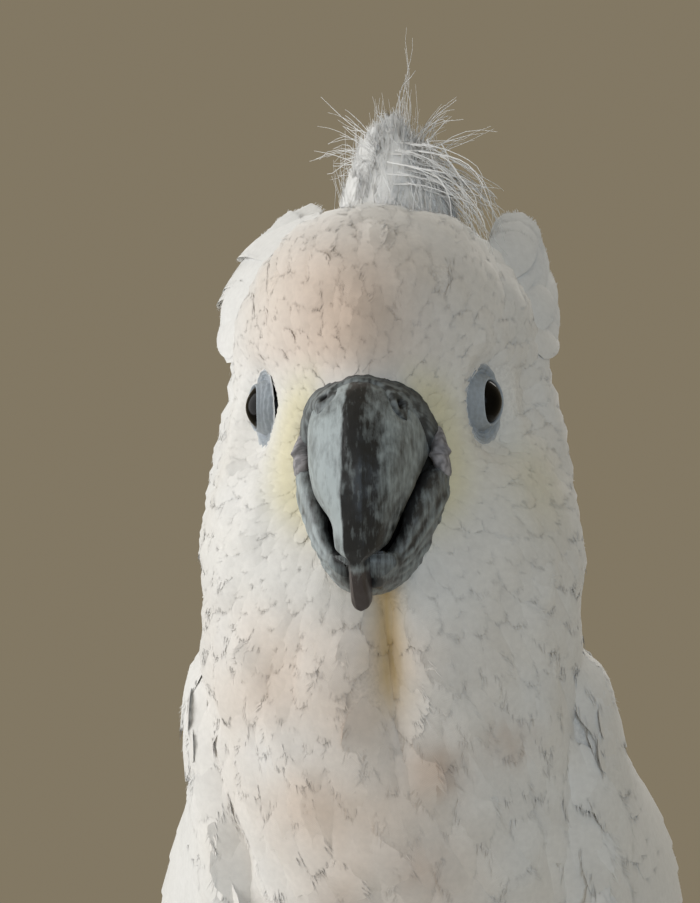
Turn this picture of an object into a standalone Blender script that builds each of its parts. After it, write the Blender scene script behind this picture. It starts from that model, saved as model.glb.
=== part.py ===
"""A white (umbrella) cockatoo, life size, standing on a flat floor with its tail tip touching it.

Metres, +Z up. The bird looks along -Y and its left side is at +X. Every shape is first made on a bird
that stands straight; pose() then turns, slides and tips the neck and head. Sizes are in millimetres.
"""

import math

import bmesh
import bpy
import numpy as np
from mathutils import Matrix, Vector

MM = 0.001
GAP = 0.35  # kept between solids that meet
WIDE_GAP = 0.5  # the same where curved facets bring them closer

# Pose: the head turns to the bird's right, the neck slides that way and the head tips a little.
HEAD_TURN, TURN_HEIGHTS = math.radians(-8.0), (98.0, 205.0)
NECK_SLIDE, SLIDE_HEIGHTS = -5.6, (140.0, 206.0)
HEAD_TIP, TIP_HEIGHTS = math.radians(-2.0), (185.0, 240.0)
TURN_AXIS_Y, TIP_AXIS_Z = -48.0, 214.0

# Levels and places on the straight bird.
EYE_LEVEL = 250.0
EYE_Y, EYE_X, EYE_RADIUS = -63.5, 18.0, 5.2

# Body stations along the spine, from the tail root to the top of the head: y, z, half width,
# reach to the front, reach to the back, roundness of the front half, steepness in degrees.
STATIONS = {
    "coverts": (97, 54.5, 13, 5, 7, 2.0, 30),
    "tail_root": (72, 69, 23, 19, 18, 2.0, 36),
    "vent": (48, 87, 34, 34, 30, 2.0, 41),
    "rump": (24, 109, 45, 50, 41, 2.0, 42),
    "belly": (-3, 134, 48.5, 58, 46, 2.0, 45),
    "breast": (-25, 159, 44, 53, 41, 2.0, 53),
    "shoulder": (-39, 182, 39.5, 43, 33, 2.0, 65),
    "neck": (-45, 203, 38.0, 37, 27, 2.0, 78),
    "throat": (-45, 220, 37.8, 37, 27, 1.9, 86),
    "cheek": (-42, 236, 36.4, 39, 27, 1.7, 90),
    "eye": (-38, 250, 33.2, 45, 24, 1.5, 90),
    "brow": (-38, 264, 31.2, 44, 23, 1.65, 90),
    "forehead": (-40, 276, 24.5, 36, 19, 1.85, 90),
    "crown": (-43, 285, 15.5, 22, 12, 2.0, 90),
    "top": (-45, 289, 1.5, 2, 1.5, 2.0, 90),
}
NAMES = list(STATIONS)
TABLE = np.array(list(STATIONS.values()), float)
RING_SIDES = 28
NECK_FROM, HEAD_FROM = NAMES.index("shoulder"), NAMES.index("neck") + 0.45


# ---------------------------------------------------------------- shared helpers


def between(low, high, value):
    """0 below low, 1 above high, smooth in between."""
    share = min(1.0, max(0.0, (value - low) / (high - low)))
    return share * share * (3 - 2 * share)


def pose(point):
    """Turns, tips and slides a point of the straight bird, in millimetres."""
    axis = Vector((0, TURN_AXIS_Y, TIP_AXIS_Z))
    turn = Matrix.Rotation(HEAD_TURN * between(*TURN_HEIGHTS, point[2]), 3, "Z")
    tip = Matrix.Rotation(HEAD_TIP * between(*TIP_HEIGHTS, point[2]), 3, "Y")
    slide = Vector((NECK_SLIDE * between(*SLIDE_HEIGHTS, point[2]), 0, 0))
    return tip @ (turn @ (Vector(point) - axis)) + axis + slide


def along(table, place):
    """A row of the table at a fractional place, on a Catmull-Rom curve."""
    last = len(table) - 1
    start = int(min(max(math.floor(place), 0), last - 1))
    t = place - start
    p0, p1, p2, p3 = (table[min(max(start + k, 0), last)] for k in (-1, 0, 1, 2))
    return 0.5 * (
        2 * p1 + (p2 - p0) * t + (2 * p0 - 5 * p1 + 4 * p2 - p3) * t**2 + (3 * p1 - p0 - 3 * p2 + p3) * t**3
    )


def path(points, share):
    """A point at a share, 0 to 1, of the curve through the given points."""
    return along(np.array(points, float), share * (len(points) - 1))


def material(name, colour, roughness):
    made = bpy.data.materials.new(name)
    made.use_nodes = True
    shader = made.node_tree.nodes["Principled BSDF"]
    shader.inputs["Base Color"].default_value = (*colour, 1.0)
    shader.inputs["Roughness"].default_value = roughness
    made.diffuse_color = (*colour, 1.0)
    return made


def add_object(name, mesh, finish=None):
    made = bpy.data.objects.new(name, mesh)
    bpy.context.scene.collection.objects.link(made)
    if finish:
        mesh.materials.append(finish)
    mesh.shade_smooth()
    return made


def loft(name, rings, finish=None, posed=True):
    """One closed skin over rings of equal length, in millimetres, with a flat fan at each end."""
    count = len(rings[0])
    points = [Vector(p) for ring in rings for p in ring]
    points += [sum((Vector(p) for p in ring), Vector()) / count for ring in (rings[0], rings[-1])]
    first, last = len(points) - 2, len(points) - 1
    faces = []
    for i in range(len(rings) - 1):
        for j in range(count):
            a, b = i * count + j, i * count + (j + 1) % count
            faces.append((a, b, b + count, a + count))
    top = (len(rings) - 1) * count
    for j in range(count):
        k = (j + 1) % count
        faces.append((first, k, j))
        faces.append((last, top + j, top + k))
    mesh = bpy.data.meshes.new(name)
    mesh.from_pydata([(pose(p) if posed else p) * MM for p in points], [], faces)
    shape = bmesh.new()
    shape.from_mesh(mesh)
    bmesh.ops.remove_doubles(shape, verts=shape.verts, dist=0.005 * MM)
    bmesh.ops.triangulate(shape, faces=shape.faces)
    bmesh.ops.recalc_face_normals(shape, faces=shape.faces)
    shape.to_mesh(mesh)
    shape.free()
    return add_object(name, mesh, finish)


def helper(obj):
    """Marks an object as a cutter or a shape that a Boolean joins, which isn't part of the bird."""
    obj.hide_render = True
    obj.display_type = "WIRE"
    return obj


def grown(obj, amount=GAP):
    """A cutter: obj with its surface moved outwards, so that what it cuts keeps a gap to obj."""
    shape = bmesh.new()
    shape.from_mesh(obj.data)
    moves = [v.normal * amount * MM * min(2.0, v.calc_shell_factor()) for v in shape.verts]
    for v, move in zip(shape.verts, moves):
        v.co += move
    mesh = bpy.data.meshes.new(obj.name + "_cutter")
    shape.to_mesh(mesh)
    shape.free()
    return helper(add_object(mesh.name, mesh))


def combine(obj, other, operation):
    step = obj.modifiers.new(f"{operation.lower()}_{other.name}", "BOOLEAN")
    step.operation = operation
    step.solver = "EXACT"
    step.object = other


def cut(obj, *others):
    for other in others:
        combine(obj, other, "DIFFERENCE")


def cut_at_floor(obj):
    """Gives a solid that reaches the floor a small flat at z = 0."""
    shape = bmesh.new()
    shape.from_mesh(obj.data)
    everything = shape.verts[:] + shape.edges[:] + shape.faces[:]
    bmesh.ops.bisect_plane(shape, geom=everything, plane_co=(0, 0, 0), plane_no=(0, 0, -1), clear_outer=True)
    rims = [e for e in shape.edges if e.is_boundary]
    if rims:
        bmesh.ops.edgeloop_fill(shape, edges=rims)
    bmesh.ops.triangulate(shape, faces=shape.faces)
    bmesh.ops.recalc_face_normals(shape, faces=shape.faces)
    shape.to_mesh(obj.data)
    shape.free()


def tube_rings(points, radii, sides, steps, across=(1, 0, 0), flat=1.0):
    """Rings of a round tube through the points; across is the way that its width lies."""
    rings = []
    for i in range(steps + 1):
        share = i / steps
        centre = Vector(path(points, share))
        ahead = Vector(path(points, min(1, share + 0.02))) - Vector(path(points, max(0, share - 0.02)))
        ahead.normalize()
        side = Vector(across) - ahead * ahead.dot(Vector(across))
        side.normalize()
        up = side.cross(ahead)
        radius = float(path([[r] for r in radii], share)[0])
        turns = [2 * math.pi * j / sides for j in range(sides)]
        rings.append([centre + side * radius * math.cos(a) + up * radius * flat * math.sin(a) for a in turns])
    return rings


# ---------------------------------------------------------------- head, neck and trunk


def spine(place):
    """Centre, fore direction and sizes of the body's section at a place along the stations."""
    row = along(TABLE, place)
    steepness = math.radians(row[6])
    fore = Vector((0, -math.sin(steepness), -math.cos(steepness)))
    return Vector((0, row[0], row[1])), fore, row


def body_point(place, angle, lift=0.0):
    """A point of the coat's outer surface; the angle is 0 at the front, 90 degrees at the bird's left."""
    centre, fore, row = spine(place)
    half, front, back, roundness = row[2:6]
    reach = front if math.cos(angle) >= 0 else back
    power = roundness if math.cos(angle) >= 0 else 2.1
    side = math.copysign(abs(math.sin(angle)) ** (2 / power), math.sin(angle))
    ahead = math.copysign(abs(math.cos(angle)) ** (2 / power), math.cos(angle))
    return centre + Vector((1, 0, 0)) * (half + lift) * side + fore * (reach + lift) * ahead


def face_relief(point):
    """How far the face stands out of or sinks into the plain head: full cheeks, hollows at the eyes."""
    relief = 0.0
    for side in (-1, 1):
        eye = (point - Vector((side * EYE_X * 1.25, EYE_Y, EYE_LEVEL))).length
        cheek = (point - Vector((side * 24, -66, 226))).length
        brow = (point - Vector((side * 17, -68, 266))).length
        relief += 2.6 * math.exp(-((cheek / 13) ** 2)) + 1.2 * math.exp(-((brow / 11) ** 2))
        relief -= 2.4 * math.exp(-((eye / 9) ** 2))
    return relief


def body_length(name, start, end, steps, finish):
    """A length of the body between two places along the stations."""
    rings = []
    for i in range(steps + 1):
        place = start + (end - start) * i / steps
        ring = []
        for j in range(RING_SIDES):
            angle = 2 * math.pi * j / RING_SIDES
            plain = body_point(place, angle)
            outwards = (body_point(place, angle, 1.0) - plain).normalized()
            ring.append(plain + outwards * face_relief(plain))
        rings.append(ring)
    return loft(name, rings, finish)


def thin_cut(place):
    """The step along the stations that leaves the gap between two lengths of body."""
    near = spine(place)[0] - spine(place + 0.1)[0]
    return 0.1 * GAP / near.length


# ---------------------------------------------------------------- bill and eyes

# The bill's places are relative to the point between the eyes: ahead of it and above it.
CULMEN = [(18, 6), (25.5, 4.5), (32.5, -1.5), (36.2, -10.5), (35.6, -20), (32.4, -27.5), (28.8, -32.8)]
TOMIUM = [(9, -7), (14, -8.4), (19, -11.2), (23.2, -15.2), (25.8, -20.5), (27.2, -26.5), (27.6, -32.4)]
UPPER_HALF_WIDTH = [11.2, 10.5, 9.4, 7.7, 5.2, 2.3, 1.0]
HOOK_START, HOOK_HALF_WIDTH = (0.70, 0.75), 1.8  # where the bill narrows to its hook, and the hook's size
CERE_END, CERE_SWELL, CERE_WIDEN = 0.13, 0.5, 1.2
UPPER_SLIDE, LOWER_SLIDE = 0.5, 0.9  # how far the bill's halves sit to the bird's left


def bill_point(x, ahead, above):
    return Vector((x, EYE_Y - ahead, EYE_LEVEL + above))


def value_along(values, share):
    return float(path([[v] for v in values], share)[0])


def upper_bill_rings(start, end, steps, swell=0.0, widen=0.0, sides=16):
    """Sections of the upper bill: an arched roof from edge to edge and a slightly hollow underside."""
    rings = []
    for i in range(steps + 1):
        share = start + (end - start) * i / steps
        top, edge = path(CULMEN, share), path(TOMIUM, share)
        hook = between(*HOOK_START, share)
        half = value_along(UPPER_HALF_WIDTH, share) * (1 - hook) + HOOK_HALF_WIDTH * hook + swell + widen
        if share > 0.95:
            half *= 0.6
        spread = (top - edge) / np.linalg.norm(top - edge) * swell
        top, edge = top + spread, edge - spread
        ring = []
        for j in range(sides):
            turn = 2 * math.pi * j / sides
            x = half * math.copysign(abs(math.sin(turn)) ** 0.85, math.sin(turn))
            rise = math.cos(turn)
            roof = max(0.0, rise) ** 0.9
            hollow = 0.09 * max(0.0, -rise) * (1 - share)
            ahead, above = edge + (top - edge) * (roof + hollow)
            ring.append(bill_point(x + UPPER_SLIDE, ahead, above))
        rings.append(ring)
    return rings


LOWER_RIM = [(3, -6.5), (10, -8.3), (16.5, -11.8), (21.5, -16.0), (24.9, -20.6), (26.9, -24.2), (28.6, -25.4)]
LOWER_KEEL = [(1, -23), (6, -28), (12, -30.6), (18, -31.4), (23, -31.0), (27, -29.3), (29.2, -27.4)]
LOWER_HALF_WIDTH = [13.2, 13.4, 11.8, 9.7, 7.7, 6.0, 5.2]


def lower_bill_rings(steps=6, sides=12):
    """Sections of the lower bill: a deep scoop, wider than the upper bill, that narrows to its front."""
    rings = []
    for i in range(steps + 1):
        share = i / steps
        rim, keel = path(LOWER_RIM, share), path(LOWER_KEEL, share)
        half = value_along(LOWER_HALF_WIDTH, share)
        ring = []
        for j in range(sides):
            turn = 2 * math.pi * j / sides
            depth = (1 - math.copysign(abs(math.cos(turn)) ** 0.8, math.cos(turn))) / 2
            x = half * math.copysign(abs(math.sin(turn)) ** 0.7, math.sin(turn)) * (1 - 0.25 * depth**3)
            ring.append(bill_point(x + LOWER_SLIDE, *(rim + (keel - rim) * depth)))
        rings.append(ring)
    return rings


def make_head(finishes):
    last = len(NAMES) - 1
    head = body_length("head", HEAD_FROM, last, 12, finishes["plumage"])
    cere = loft("cere", upper_bill_rings(0.0, CERE_END, 2, CERE_SWELL, CERE_WIDEN), finishes["cere"])
    upper = loft("upper_bill", upper_bill_rings(CERE_END + 0.012, 1.0, 9, sides=14), finishes["bill"])
    lower = loft("lower_bill", lower_bill_rings(), finishes["bill"])
    pocket = helper(loft("bill_pocket", upper_bill_rings(-0.03, 0.7, 7, CERE_SWELL + WIDE_GAP, CERE_WIDEN)))
    cut(head, pocket, grown(lower))
    cut(lower, grown(upper, WIDE_GAP), grown(cere, WIDE_GAP))
    for side, word in ((1, "left"), (-1, "right")):
        eye = make_eye(f"eye_{word}", side, finishes["eye"])
        cut(head, grown(eye))
    return head


def make_eye(name, side, finish):
    centre = Vector((side * EYE_X, EYE_Y, EYE_LEVEL))
    mesh = bpy.data.meshes.new(name)
    shape = bmesh.new()
    bmesh.ops.create_uvsphere(shape, u_segments=11, v_segments=7, radius=EYE_RADIUS)
    bmesh.ops.triangulate(shape, faces=shape.faces)
    for v in shape.verts:
        v.co = pose(v.co + centre) * MM
    shape.to_mesh(mesh)
    shape.free()
    return add_object(name, mesh, finish)


# ---------------------------------------------------------------- crest and crown tuft

# Each crest feather on one side: root, then tip, from the point between the eyes as across, back
# and above; its half width, how far it bulges upwards, and its slope to the side in degrees.
CREST_FEATHERS = [
    ((0, 24, 33), (0, 86, 8), 11.0, 5, 0),
    ((5, 22, 32), (12, 82, 13), 11.0, 5, 12),
    ((9, 20, 30), (19, 74, 19), 10.5, 5, 24),
    ((14, 18, 29), (25, 62, 30), 10.0, 9, 32),
    ((20, 18, 22), (31.5, 49, 19), 9.0, 9, 56),
]
CREST_SPREAD, CREST_THICK, CREST_DRIFT = 2.5, 3.6, -0.06
CREST_BAND = [(-28, 30, 20), (-19, 37, 30), (0, 43, 27), (19, 37, 30), (28, 30, 20)]


def crest_place(across, back, above):
    """A place in the crest, which drifts to the bird's right as it runs back."""
    return Vector((across + CREST_DRIFT * back, EYE_Y + back, EYE_LEVEL + above))


def crest_feather(name, side, root, tip, wide, rise, slope):
    """A broad curved vane that rises from the crown and sweeps back."""
    root, tip = crest_place(side * root[0], *root[1:]), crest_place(side * tip[0], *tip[1:])
    middle = (root + tip) / 2 + Vector((side * CREST_SPREAD, 0, rise))
    slope = math.radians(slope)
    outwards = Vector((side * math.sin(slope), 0.3, math.cos(slope)))
    rings, steps, sides = [], 5, 6
    for i in range(steps + 1):
        share = i / steps
        centre = root * (1 - share) ** 2 + middle * 2 * share * (1 - share) + tip * share**2
        ahead = ((middle - root) * (1 - share) + (tip - middle) * share).normalized()
        across_way = ahead.cross(outwards).normalized()
        up = across_way.cross(ahead)
        fullness = 0.6 + 0.4 * math.sin(math.pi * min(1, share * 1.25) / 1.6)
        half = wide * fullness * max(0.02, 1 - share**5) ** 0.5
        thick = CREST_THICK / 2 * (1 - 0.45 * share)
        ring = []
        for j in range(sides):
            turn = 2 * math.pi * j / sides
            arch = -1.6 * math.cos(turn) ** 2
            ring.append(centre + across_way * half * math.cos(turn) + up * (thick * math.sin(turn) + arch))
        rings.append(ring)
    return loft(name, rings)


def make_crest(head_cutter, finish):
    """Broad feathers joined by a band of plumage behind the crown."""
    band = [crest_place(*p) for p in CREST_BAND]
    crest = loft("crest", tube_rings(band, (3, 5.5, 6, 5.5, 3), 8, 8, (0, 1, 0)), finish)
    for number, (root, tip, *sizes) in enumerate(CREST_FEATHERS):
        for side, word in ((1, "left"), (-1, "right")) if number else ((1, "middle"),):
            feather = crest_feather(f"crest_part_{number}_{word}", side, root, tip, *sizes)
            combine(crest, helper(feather), "UNION")
    cut(crest, head_cutter)
    return crest


# Each wisp of the tuft: across, ahead and up from the tuft's root to its tip.
WISPS = [
    (3, 2, 31), (-2, 1, 18), (-13, 3, 19), (-15, 5, 13), (-14, 2, 6), (12, 1, 18),
    (18, 0, 13), (16, 3, 1), (13, -4, 22), (-7, -8, 15), (6, -10, 14), (-16, -2, 10),
]
TUFT_ROOT = Vector((5.0, -42.0, EYE_LEVEL + 37.5))


def make_tuft(head_cutter, crest_cutter, finish):
    """Loose down on the crown: a soft core with thin wisps that stand out of it."""
    core = [TUFT_ROOT + Vector(p) for p in ((0, 0, -3), (0, 0, 5), (0, 1, 12), (0, 2, 17))]
    tuft = loft("crown_tuft", tube_rings(core, (13, 10.5, 7.5, 1.2), 9, 4), finish)
    for number, (across, ahead, up) in enumerate(WISPS):
        tip = TUFT_ROOT + Vector((across, -ahead, up))
        start = TUFT_ROOT + Vector((across * 0.2, -ahead * 0.2, 4))
        bend = (start + tip) / 2 + Vector((-across * 0.12, 0, 3))
        wisp = loft(f"wisp_{number}", tube_rings((start, bend, tip), (1.6, 1.0, 0.35), 3, 3, (0, 1, 0)))
        combine(tuft, helper(wisp), "UNION")
    cut(tuft, head_cutter, crest_cutter)
    return tuft


# ---------------------------------------------------------------- wings and tail

# The wings lie on the trunk's sections and run on over the tail, on these further sections.
WING_CARRIER = np.vstack([
    (160, 28, 20, 5, 9, 2, 28),
    (120, 47, 26, 8, 14, 2, 29),
    (82, 67, 33, 14, 22, 2, 34),
    (50, 88, 40, 29, 32, 2, 41),
    TABLE[NAMES.index("rump") : NAMES.index("throat")],
])
# Along the folded wing, from the bend to the tip: place on the carrier, lower and upper edge in
# degrees from the breast, and how thick it stands on the body.
WING_LINES = [
    (7.65, 84, 100, 0.8),
    (7.35, 72, 118, 1.6),
    (6.8, 58, 134, 2.2),
    (6.1, 46, 150, 4.0),
    (5.2, 48, 161, 7.2),
    (4.2, 62, 168, 7.5),
    (3.2, 80, 173, 6.5),
    (2.2, 96, 175, 5.5),
    (1.3, 108, 174, 4.5),
    (0.6, 120, 172, 3.3),
    (0.0, 142, 164, 1.8),
]
WING_SINK = 3.0  # how deep the wing's inner face lies in the plumage of the flank


def carrier_point(place, angle, lift):
    row = along(WING_CARRIER, place)
    steepness = math.radians(row[6])
    fore = Vector((0, -math.sin(steepness), -math.cos(steepness)))
    reach = row[3] if math.cos(angle) >= 0 else row[4]
    centre = Vector((0, row[0], row[1]))
    return centre + Vector((row[2] + lift, 0, 0)) * math.sin(angle) + fore * (reach + lift) * math.cos(angle)


def make_wing(name, side, finish):
    """The folded wing: a curved slab from the bend at the shoulder to the tip over the tail."""
    rings, steps, points_across = [], 12, 6
    for i in range(steps + 1):
        place, low, high, thick = path(WING_LINES, i / steps)
        sink = WING_SINK * between(1.8, 4.0, place) + 0.2
        outer, inner = [], []
        for j in range(points_across):
            share = j / (points_across - 1)
            angle = math.radians(low + (high - low) * share)
            edge = max(0.0, 1 - abs(2 * share - 1) ** 3.5)
            outer.append(carrier_point(place, angle, 0.6 + (thick - 0.6) * edge))
            inner.append(carrier_point(place, angle, -sink * edge - 0.3))
        rings.append([Vector((side * p.x, p.y, p.z)) for p in outer + inner[::-1]])
    return loft(name, rings, finish)


TAIL_ROOT, TAIL_TIP = Vector((0, 56, 77)), Vector((0, 197, 0.3))
TAIL_HALF_WIDTH = [10, 15, 22, 29, 34, 36.5, 34]
TAIL_THICK = [9, 8, 6.5, 5.0, 4.2, 3.6, 3.0]


def make_tail(finish):
    """Twelve tail feathers as one slightly arched fan that ends on the floor."""
    run = (TAIL_TIP - TAIL_ROOT).normalized()
    up = Vector((1, 0, 0)).cross(run)
    rings, steps, sides = [], 8, 14
    for i in range(steps + 1):
        share = i / steps
        half = float(path([[w] for w in TAIL_HALF_WIDTH], share)[0])
        thick = float(path([[t] for t in TAIL_THICK], share)[0]) / 2
        sag = -5.0 * math.sin(math.pi * share) * 0.6
        arch = 5.0 * (1 - share)
        ring = []
        for j in range(sides):
            turn = 2 * math.pi * j / sides
            across = math.copysign(abs(math.cos(turn)) ** 0.8, math.cos(turn))
            rounding = -9.0 * across**2 * share**6
            centre = TAIL_ROOT + (TAIL_TIP - TAIL_ROOT) * share
            centre = centre + run * rounding + up * (sag - arch * across**2)
            ring.append(centre + Vector((half * across, 0, 0)) + up * thick * math.sin(turn))
        rings.append(ring)
    tail = loft("tail", rings, finish)
    cut_at_floor(tail)
    return tail


# ---------------------------------------------------------------- legs

LEG_X, HEEL, FOOT = 25.0, (12.0, 33.0), (-6.0, 7.5)  # across; y and z of the heel and of the foot's middle
# Each toe: the way it points in degrees outwards from straight ahead, its length and its girth.
TOES = {
    "inner_front": (-12, 27, 4.3),
    "outer_front": (26, 36, 4.6),
    "outer_back": (141, 33, 4.5),
    "inner_back": (196, 22, 4.0),
}
CLAW_LENGTH = 12.0


def make_leg(side, word, body_cutters, finishes):
    x = side * LEG_X
    hip, heel, foot = Vector((side * 22, 6, 108)), Vector((x, *HEEL)), Vector((side * (LEG_X + 1), *FOOT))
    thigh_line = [hip, Vector((x * 0.97, 1, 68)), Vector((x, 9, 45)), heel + Vector((0, 1.5, -4))]
    thigh = loft(f"thigh_{word}", tube_rings(thigh_line, (24, 19, 11.5, 6.2), 12, 6), finishes["plumage"])
    shank_line = [heel + Vector((0, 1, 3)), heel, (heel + foot) / 2, foot, foot + Vector((0, -2, -2.5))]
    shank_radii = (3.6, 5.6, 4.4, 6.6, 5.0)
    shank = loft(f"shank_{word}", tube_rings(shank_line, shank_radii, 9, 5), finishes["foot"])
    cut_at_floor(shank)
    shank_cutter = grown(shank)
    cut(thigh, *body_cutters, shank_cutter)
    done = [shank_cutter]
    for toe_name, (heading, length, girth) in TOES.items():
        toe = make_toe(f"toe_{toe_name}_{word}", foot, side, heading, length, girth, finishes)
        cut(toe, *done)
        done.append(grown(toe))


def make_toe(name, foot, side, heading, length, girth, finishes):
    """A toe with soft joints, flat under its pads, and its claw."""
    turn = math.radians(heading)
    way = Vector((side * math.sin(turn), -math.cos(turn), 0))
    across = way.cross(Vector((0, 0, 1)))
    root = Vector((foot.x, foot.y, girth * 0.68)) + way * 2.5
    rises = ((0, 1.2), (0.35, 0.3), (0.7, 0.0), (1.0, -0.5))
    line = [root + way * length * share + Vector((0, 0, rise)) for share, rise in rises]
    radii = [girth * k for k in (0.98, 0.84, 0.99, 0.80, 0.96, 0.78, 0.62)]
    toe = loft(name, tube_rings(line, radii, 7, 6, across, 0.9), finishes["foot"])
    cut_at_floor(toe)
    tip = root + way * length
    claw_line = [
        tip - way * 2.2 + Vector((0, 0, 0.6)),
        tip + way * CLAW_LENGTH * 0.42 + Vector((0, 0, 1.9)),
        tip + way * CLAW_LENGTH * 0.86 + Vector((0, 0, -1.7)),
    ]
    claw_rings = tube_rings(claw_line, (2.3, 1.8, 0.35), 5, 3, across)
    claw = loft(name.replace("toe", "claw"), claw_rings, finishes["claw"])
    cut(toe, grown(claw))
    return toe


# ---------------------------------------------------------------- the whole bird


def make_finishes():
    return {
        "plumage": material("plumage", (0.86, 0.84, 0.80), 0.85),
        "bill": material("bill", (0.10, 0.105, 0.11), 0.55),
        "cere": material("cere", (0.07, 0.07, 0.075), 0.7),
        "eye": material("eye", (0.015, 0.012, 0.012), 0.08),
        "foot": material("foot", (0.13, 0.13, 0.135), 0.75),
        "claw": material("claw", (0.05, 0.05, 0.052), 0.45),
    }


def rest_on_origin():
    """Moves the model so that the origin is at the middle of its base."""
    graph = bpy.context.evaluated_depsgraph_get()
    shown = [o for o in bpy.data.objects if not o.hide_render]
    corners = [o.matrix_world @ Vector(c) for o in shown for c in o.evaluated_get(graph).bound_box]
    low, high = ([pick(c[k] for c in corners) for k in range(3)] for pick in (min, max))
    shift = Vector((-(low[0] + high[0]) / 2, -(low[1] + high[1]) / 2, 0))
    for o in bpy.data.objects:
        o.location += shift


def make_bird():
    finishes = make_finishes()
    plumage = finishes["plumage"]
    head = make_head(finishes)
    neck = body_length("neck", NECK_FROM, HEAD_FROM - thin_cut(HEAD_FROM), 3, plumage)
    trunk = body_length("trunk", 0, NECK_FROM - thin_cut(NECK_FROM), 10, plumage)
    trunk_cutter = grown(trunk)
    head_cutter = grown(head, GAP + 0.15)
    crest = make_crest(head_cutter, plumage)
    crest_cutter = grown(crest)
    for modifier in list(crest.modifiers):
        if modifier.operation == "UNION":
            combine(crest_cutter, grown(modifier.object), "UNION")
    make_tuft(head_cutter, crest_cutter, plumage)
    tail = make_tail(plumage)
    cut(trunk, grown(tail))
    for side, word in ((1, "left"), (-1, "right")):
        wing = make_wing(f"wing_{word}", side, plumage)
        wing_cutter = grown(wing)
        for crossed in (neck, trunk, tail):
            cut(crossed, wing_cutter)
        make_leg(side, word, (trunk_cutter, wing_cutter), finishes)
    rest_on_origin()


for old in list(bpy.data.objects):
    bpy.data.objects.remove(old, do_unlink=True)
make_bird()
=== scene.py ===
"""Looks of the white (umbrella) cockatoo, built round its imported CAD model.

Every shape is made on a bird that stands straight: millimetres, facing -Y, its left side at +X. pose()
then slides, turns and tips the neck and head as the CAD model does, and puts each point in the row frame.
"""

import math

import bpy
import numpy as np
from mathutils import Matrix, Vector
from mathutils.bvhtree import BVHTree
from mathutils.kdtree import KDTree


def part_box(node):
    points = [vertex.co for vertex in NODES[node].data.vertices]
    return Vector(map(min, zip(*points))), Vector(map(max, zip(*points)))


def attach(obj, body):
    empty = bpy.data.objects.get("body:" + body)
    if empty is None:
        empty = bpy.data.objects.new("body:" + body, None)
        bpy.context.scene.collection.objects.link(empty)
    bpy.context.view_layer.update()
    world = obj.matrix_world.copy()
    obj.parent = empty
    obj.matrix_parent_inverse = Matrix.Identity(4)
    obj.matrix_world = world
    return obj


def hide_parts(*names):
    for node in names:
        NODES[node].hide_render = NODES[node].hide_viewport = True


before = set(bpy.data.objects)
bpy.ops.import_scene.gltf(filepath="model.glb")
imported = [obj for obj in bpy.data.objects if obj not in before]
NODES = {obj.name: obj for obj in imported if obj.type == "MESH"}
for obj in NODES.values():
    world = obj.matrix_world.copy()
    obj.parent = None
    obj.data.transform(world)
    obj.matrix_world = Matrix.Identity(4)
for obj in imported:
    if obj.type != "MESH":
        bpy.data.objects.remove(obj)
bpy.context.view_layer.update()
MM = 0.001

# Pose of the CAD model: angles, and the heights on the straight bird between which each sets in.
HEAD_TURN, TURN_HEIGHTS = math.radians(-8.0), (98.0, 205.0)
NECK_SLIDE, SLIDE_HEIGHTS = -5.6, (140.0, 206.0)
HEAD_TIP, TIP_HEIGHTS = math.radians(-2.0), (185.0, 240.0)
TURN_AXIS_Y, TIP_AXIS_Z = -48.0, 214.0

# Places on the straight bird.
EYE_LEVEL, EYE_Y, EYE_X, EYE_RADIUS = 250.0, -63.5, 18.0, 5.2
BILL_BASE = np.array([0.0, EYE_Y - 20.0, EYE_LEVEL - 8.0])
SPINE = [(-45, 300), (-45, 220), (-42, 190), (-25, 159), (-3, 134), (24, 109), (60, 80), (110, 48)]  # y, z


# ---------------- numbers


def ease(low, high, value):
    """0 below low, 1 above high, smooth in between."""
    share = np.clip((np.asarray(value, float) - low) / (high - low), 0.0, 1.0)
    return share * share * (3 - 2 * share)


def bell(distance, width):
    return np.exp(-((np.asarray(distance) / width) ** 2))


def length_of(vectors):
    return np.linalg.norm(vectors, axis=-1)


def unit(vectors):
    return vectors / np.maximum(length_of(vectors)[..., None], 1e-9)


def dot(a, b):
    return (a * b).sum(-1, keepdims=True)


def along(table, place):
    """A row of the table at a fractional place, on a Catmull-Rom curve."""
    last = len(table) - 1
    start = int(min(max(math.floor(place), 0), last - 1))
    t = place - start
    p0, p1, p2, p3 = (table[min(max(start + k, 0), last)] for k in (-1, 0, 1, 2))
    bend = 2 * p0 - 5 * p1 + 4 * p2 - p3
    return 0.5 * (2 * p1 + (p2 - p0) * t + bend * t**2 + (3 * p1 - p0 - 3 * p2 + p3) * t**3)


def path(points, share):
    """A point at a share, 0 to 1, of the curve through the given points."""
    return along(np.array(points, float), share * (len(points) - 1))


def value_along(values, share):
    return float(path([[v] for v in values], share)[0])


def circle(count):
    """Angles of points evenly round a circle."""
    return np.linspace(0, 2 * math.pi, count, endpoint=False)


def waves(points, length, seed):
    """Smooth noise from about -1 to 1, the same each run: a sum of waves in random directions."""
    random = np.random.default_rng(seed)
    total = np.zeros(points.shape[:-1])
    for _ in range(14):
        way = unit(random.normal(size=3)) * random.uniform(0.6, 1.7) * 2 * math.pi / length
        total += np.sin(points @ way + random.uniform(0, 2 * math.pi))
    return total / 4.0


def linear(red, green, blue):
    """A screen colour as the linear one that shaders use."""
    screen = np.array([red, green, blue], float)
    return np.where(screen <= 0.04045, screen / 12.92, ((screen + 0.055) / 1.055) ** 2.4)


# ---------------- the straight bird and its pose


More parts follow.
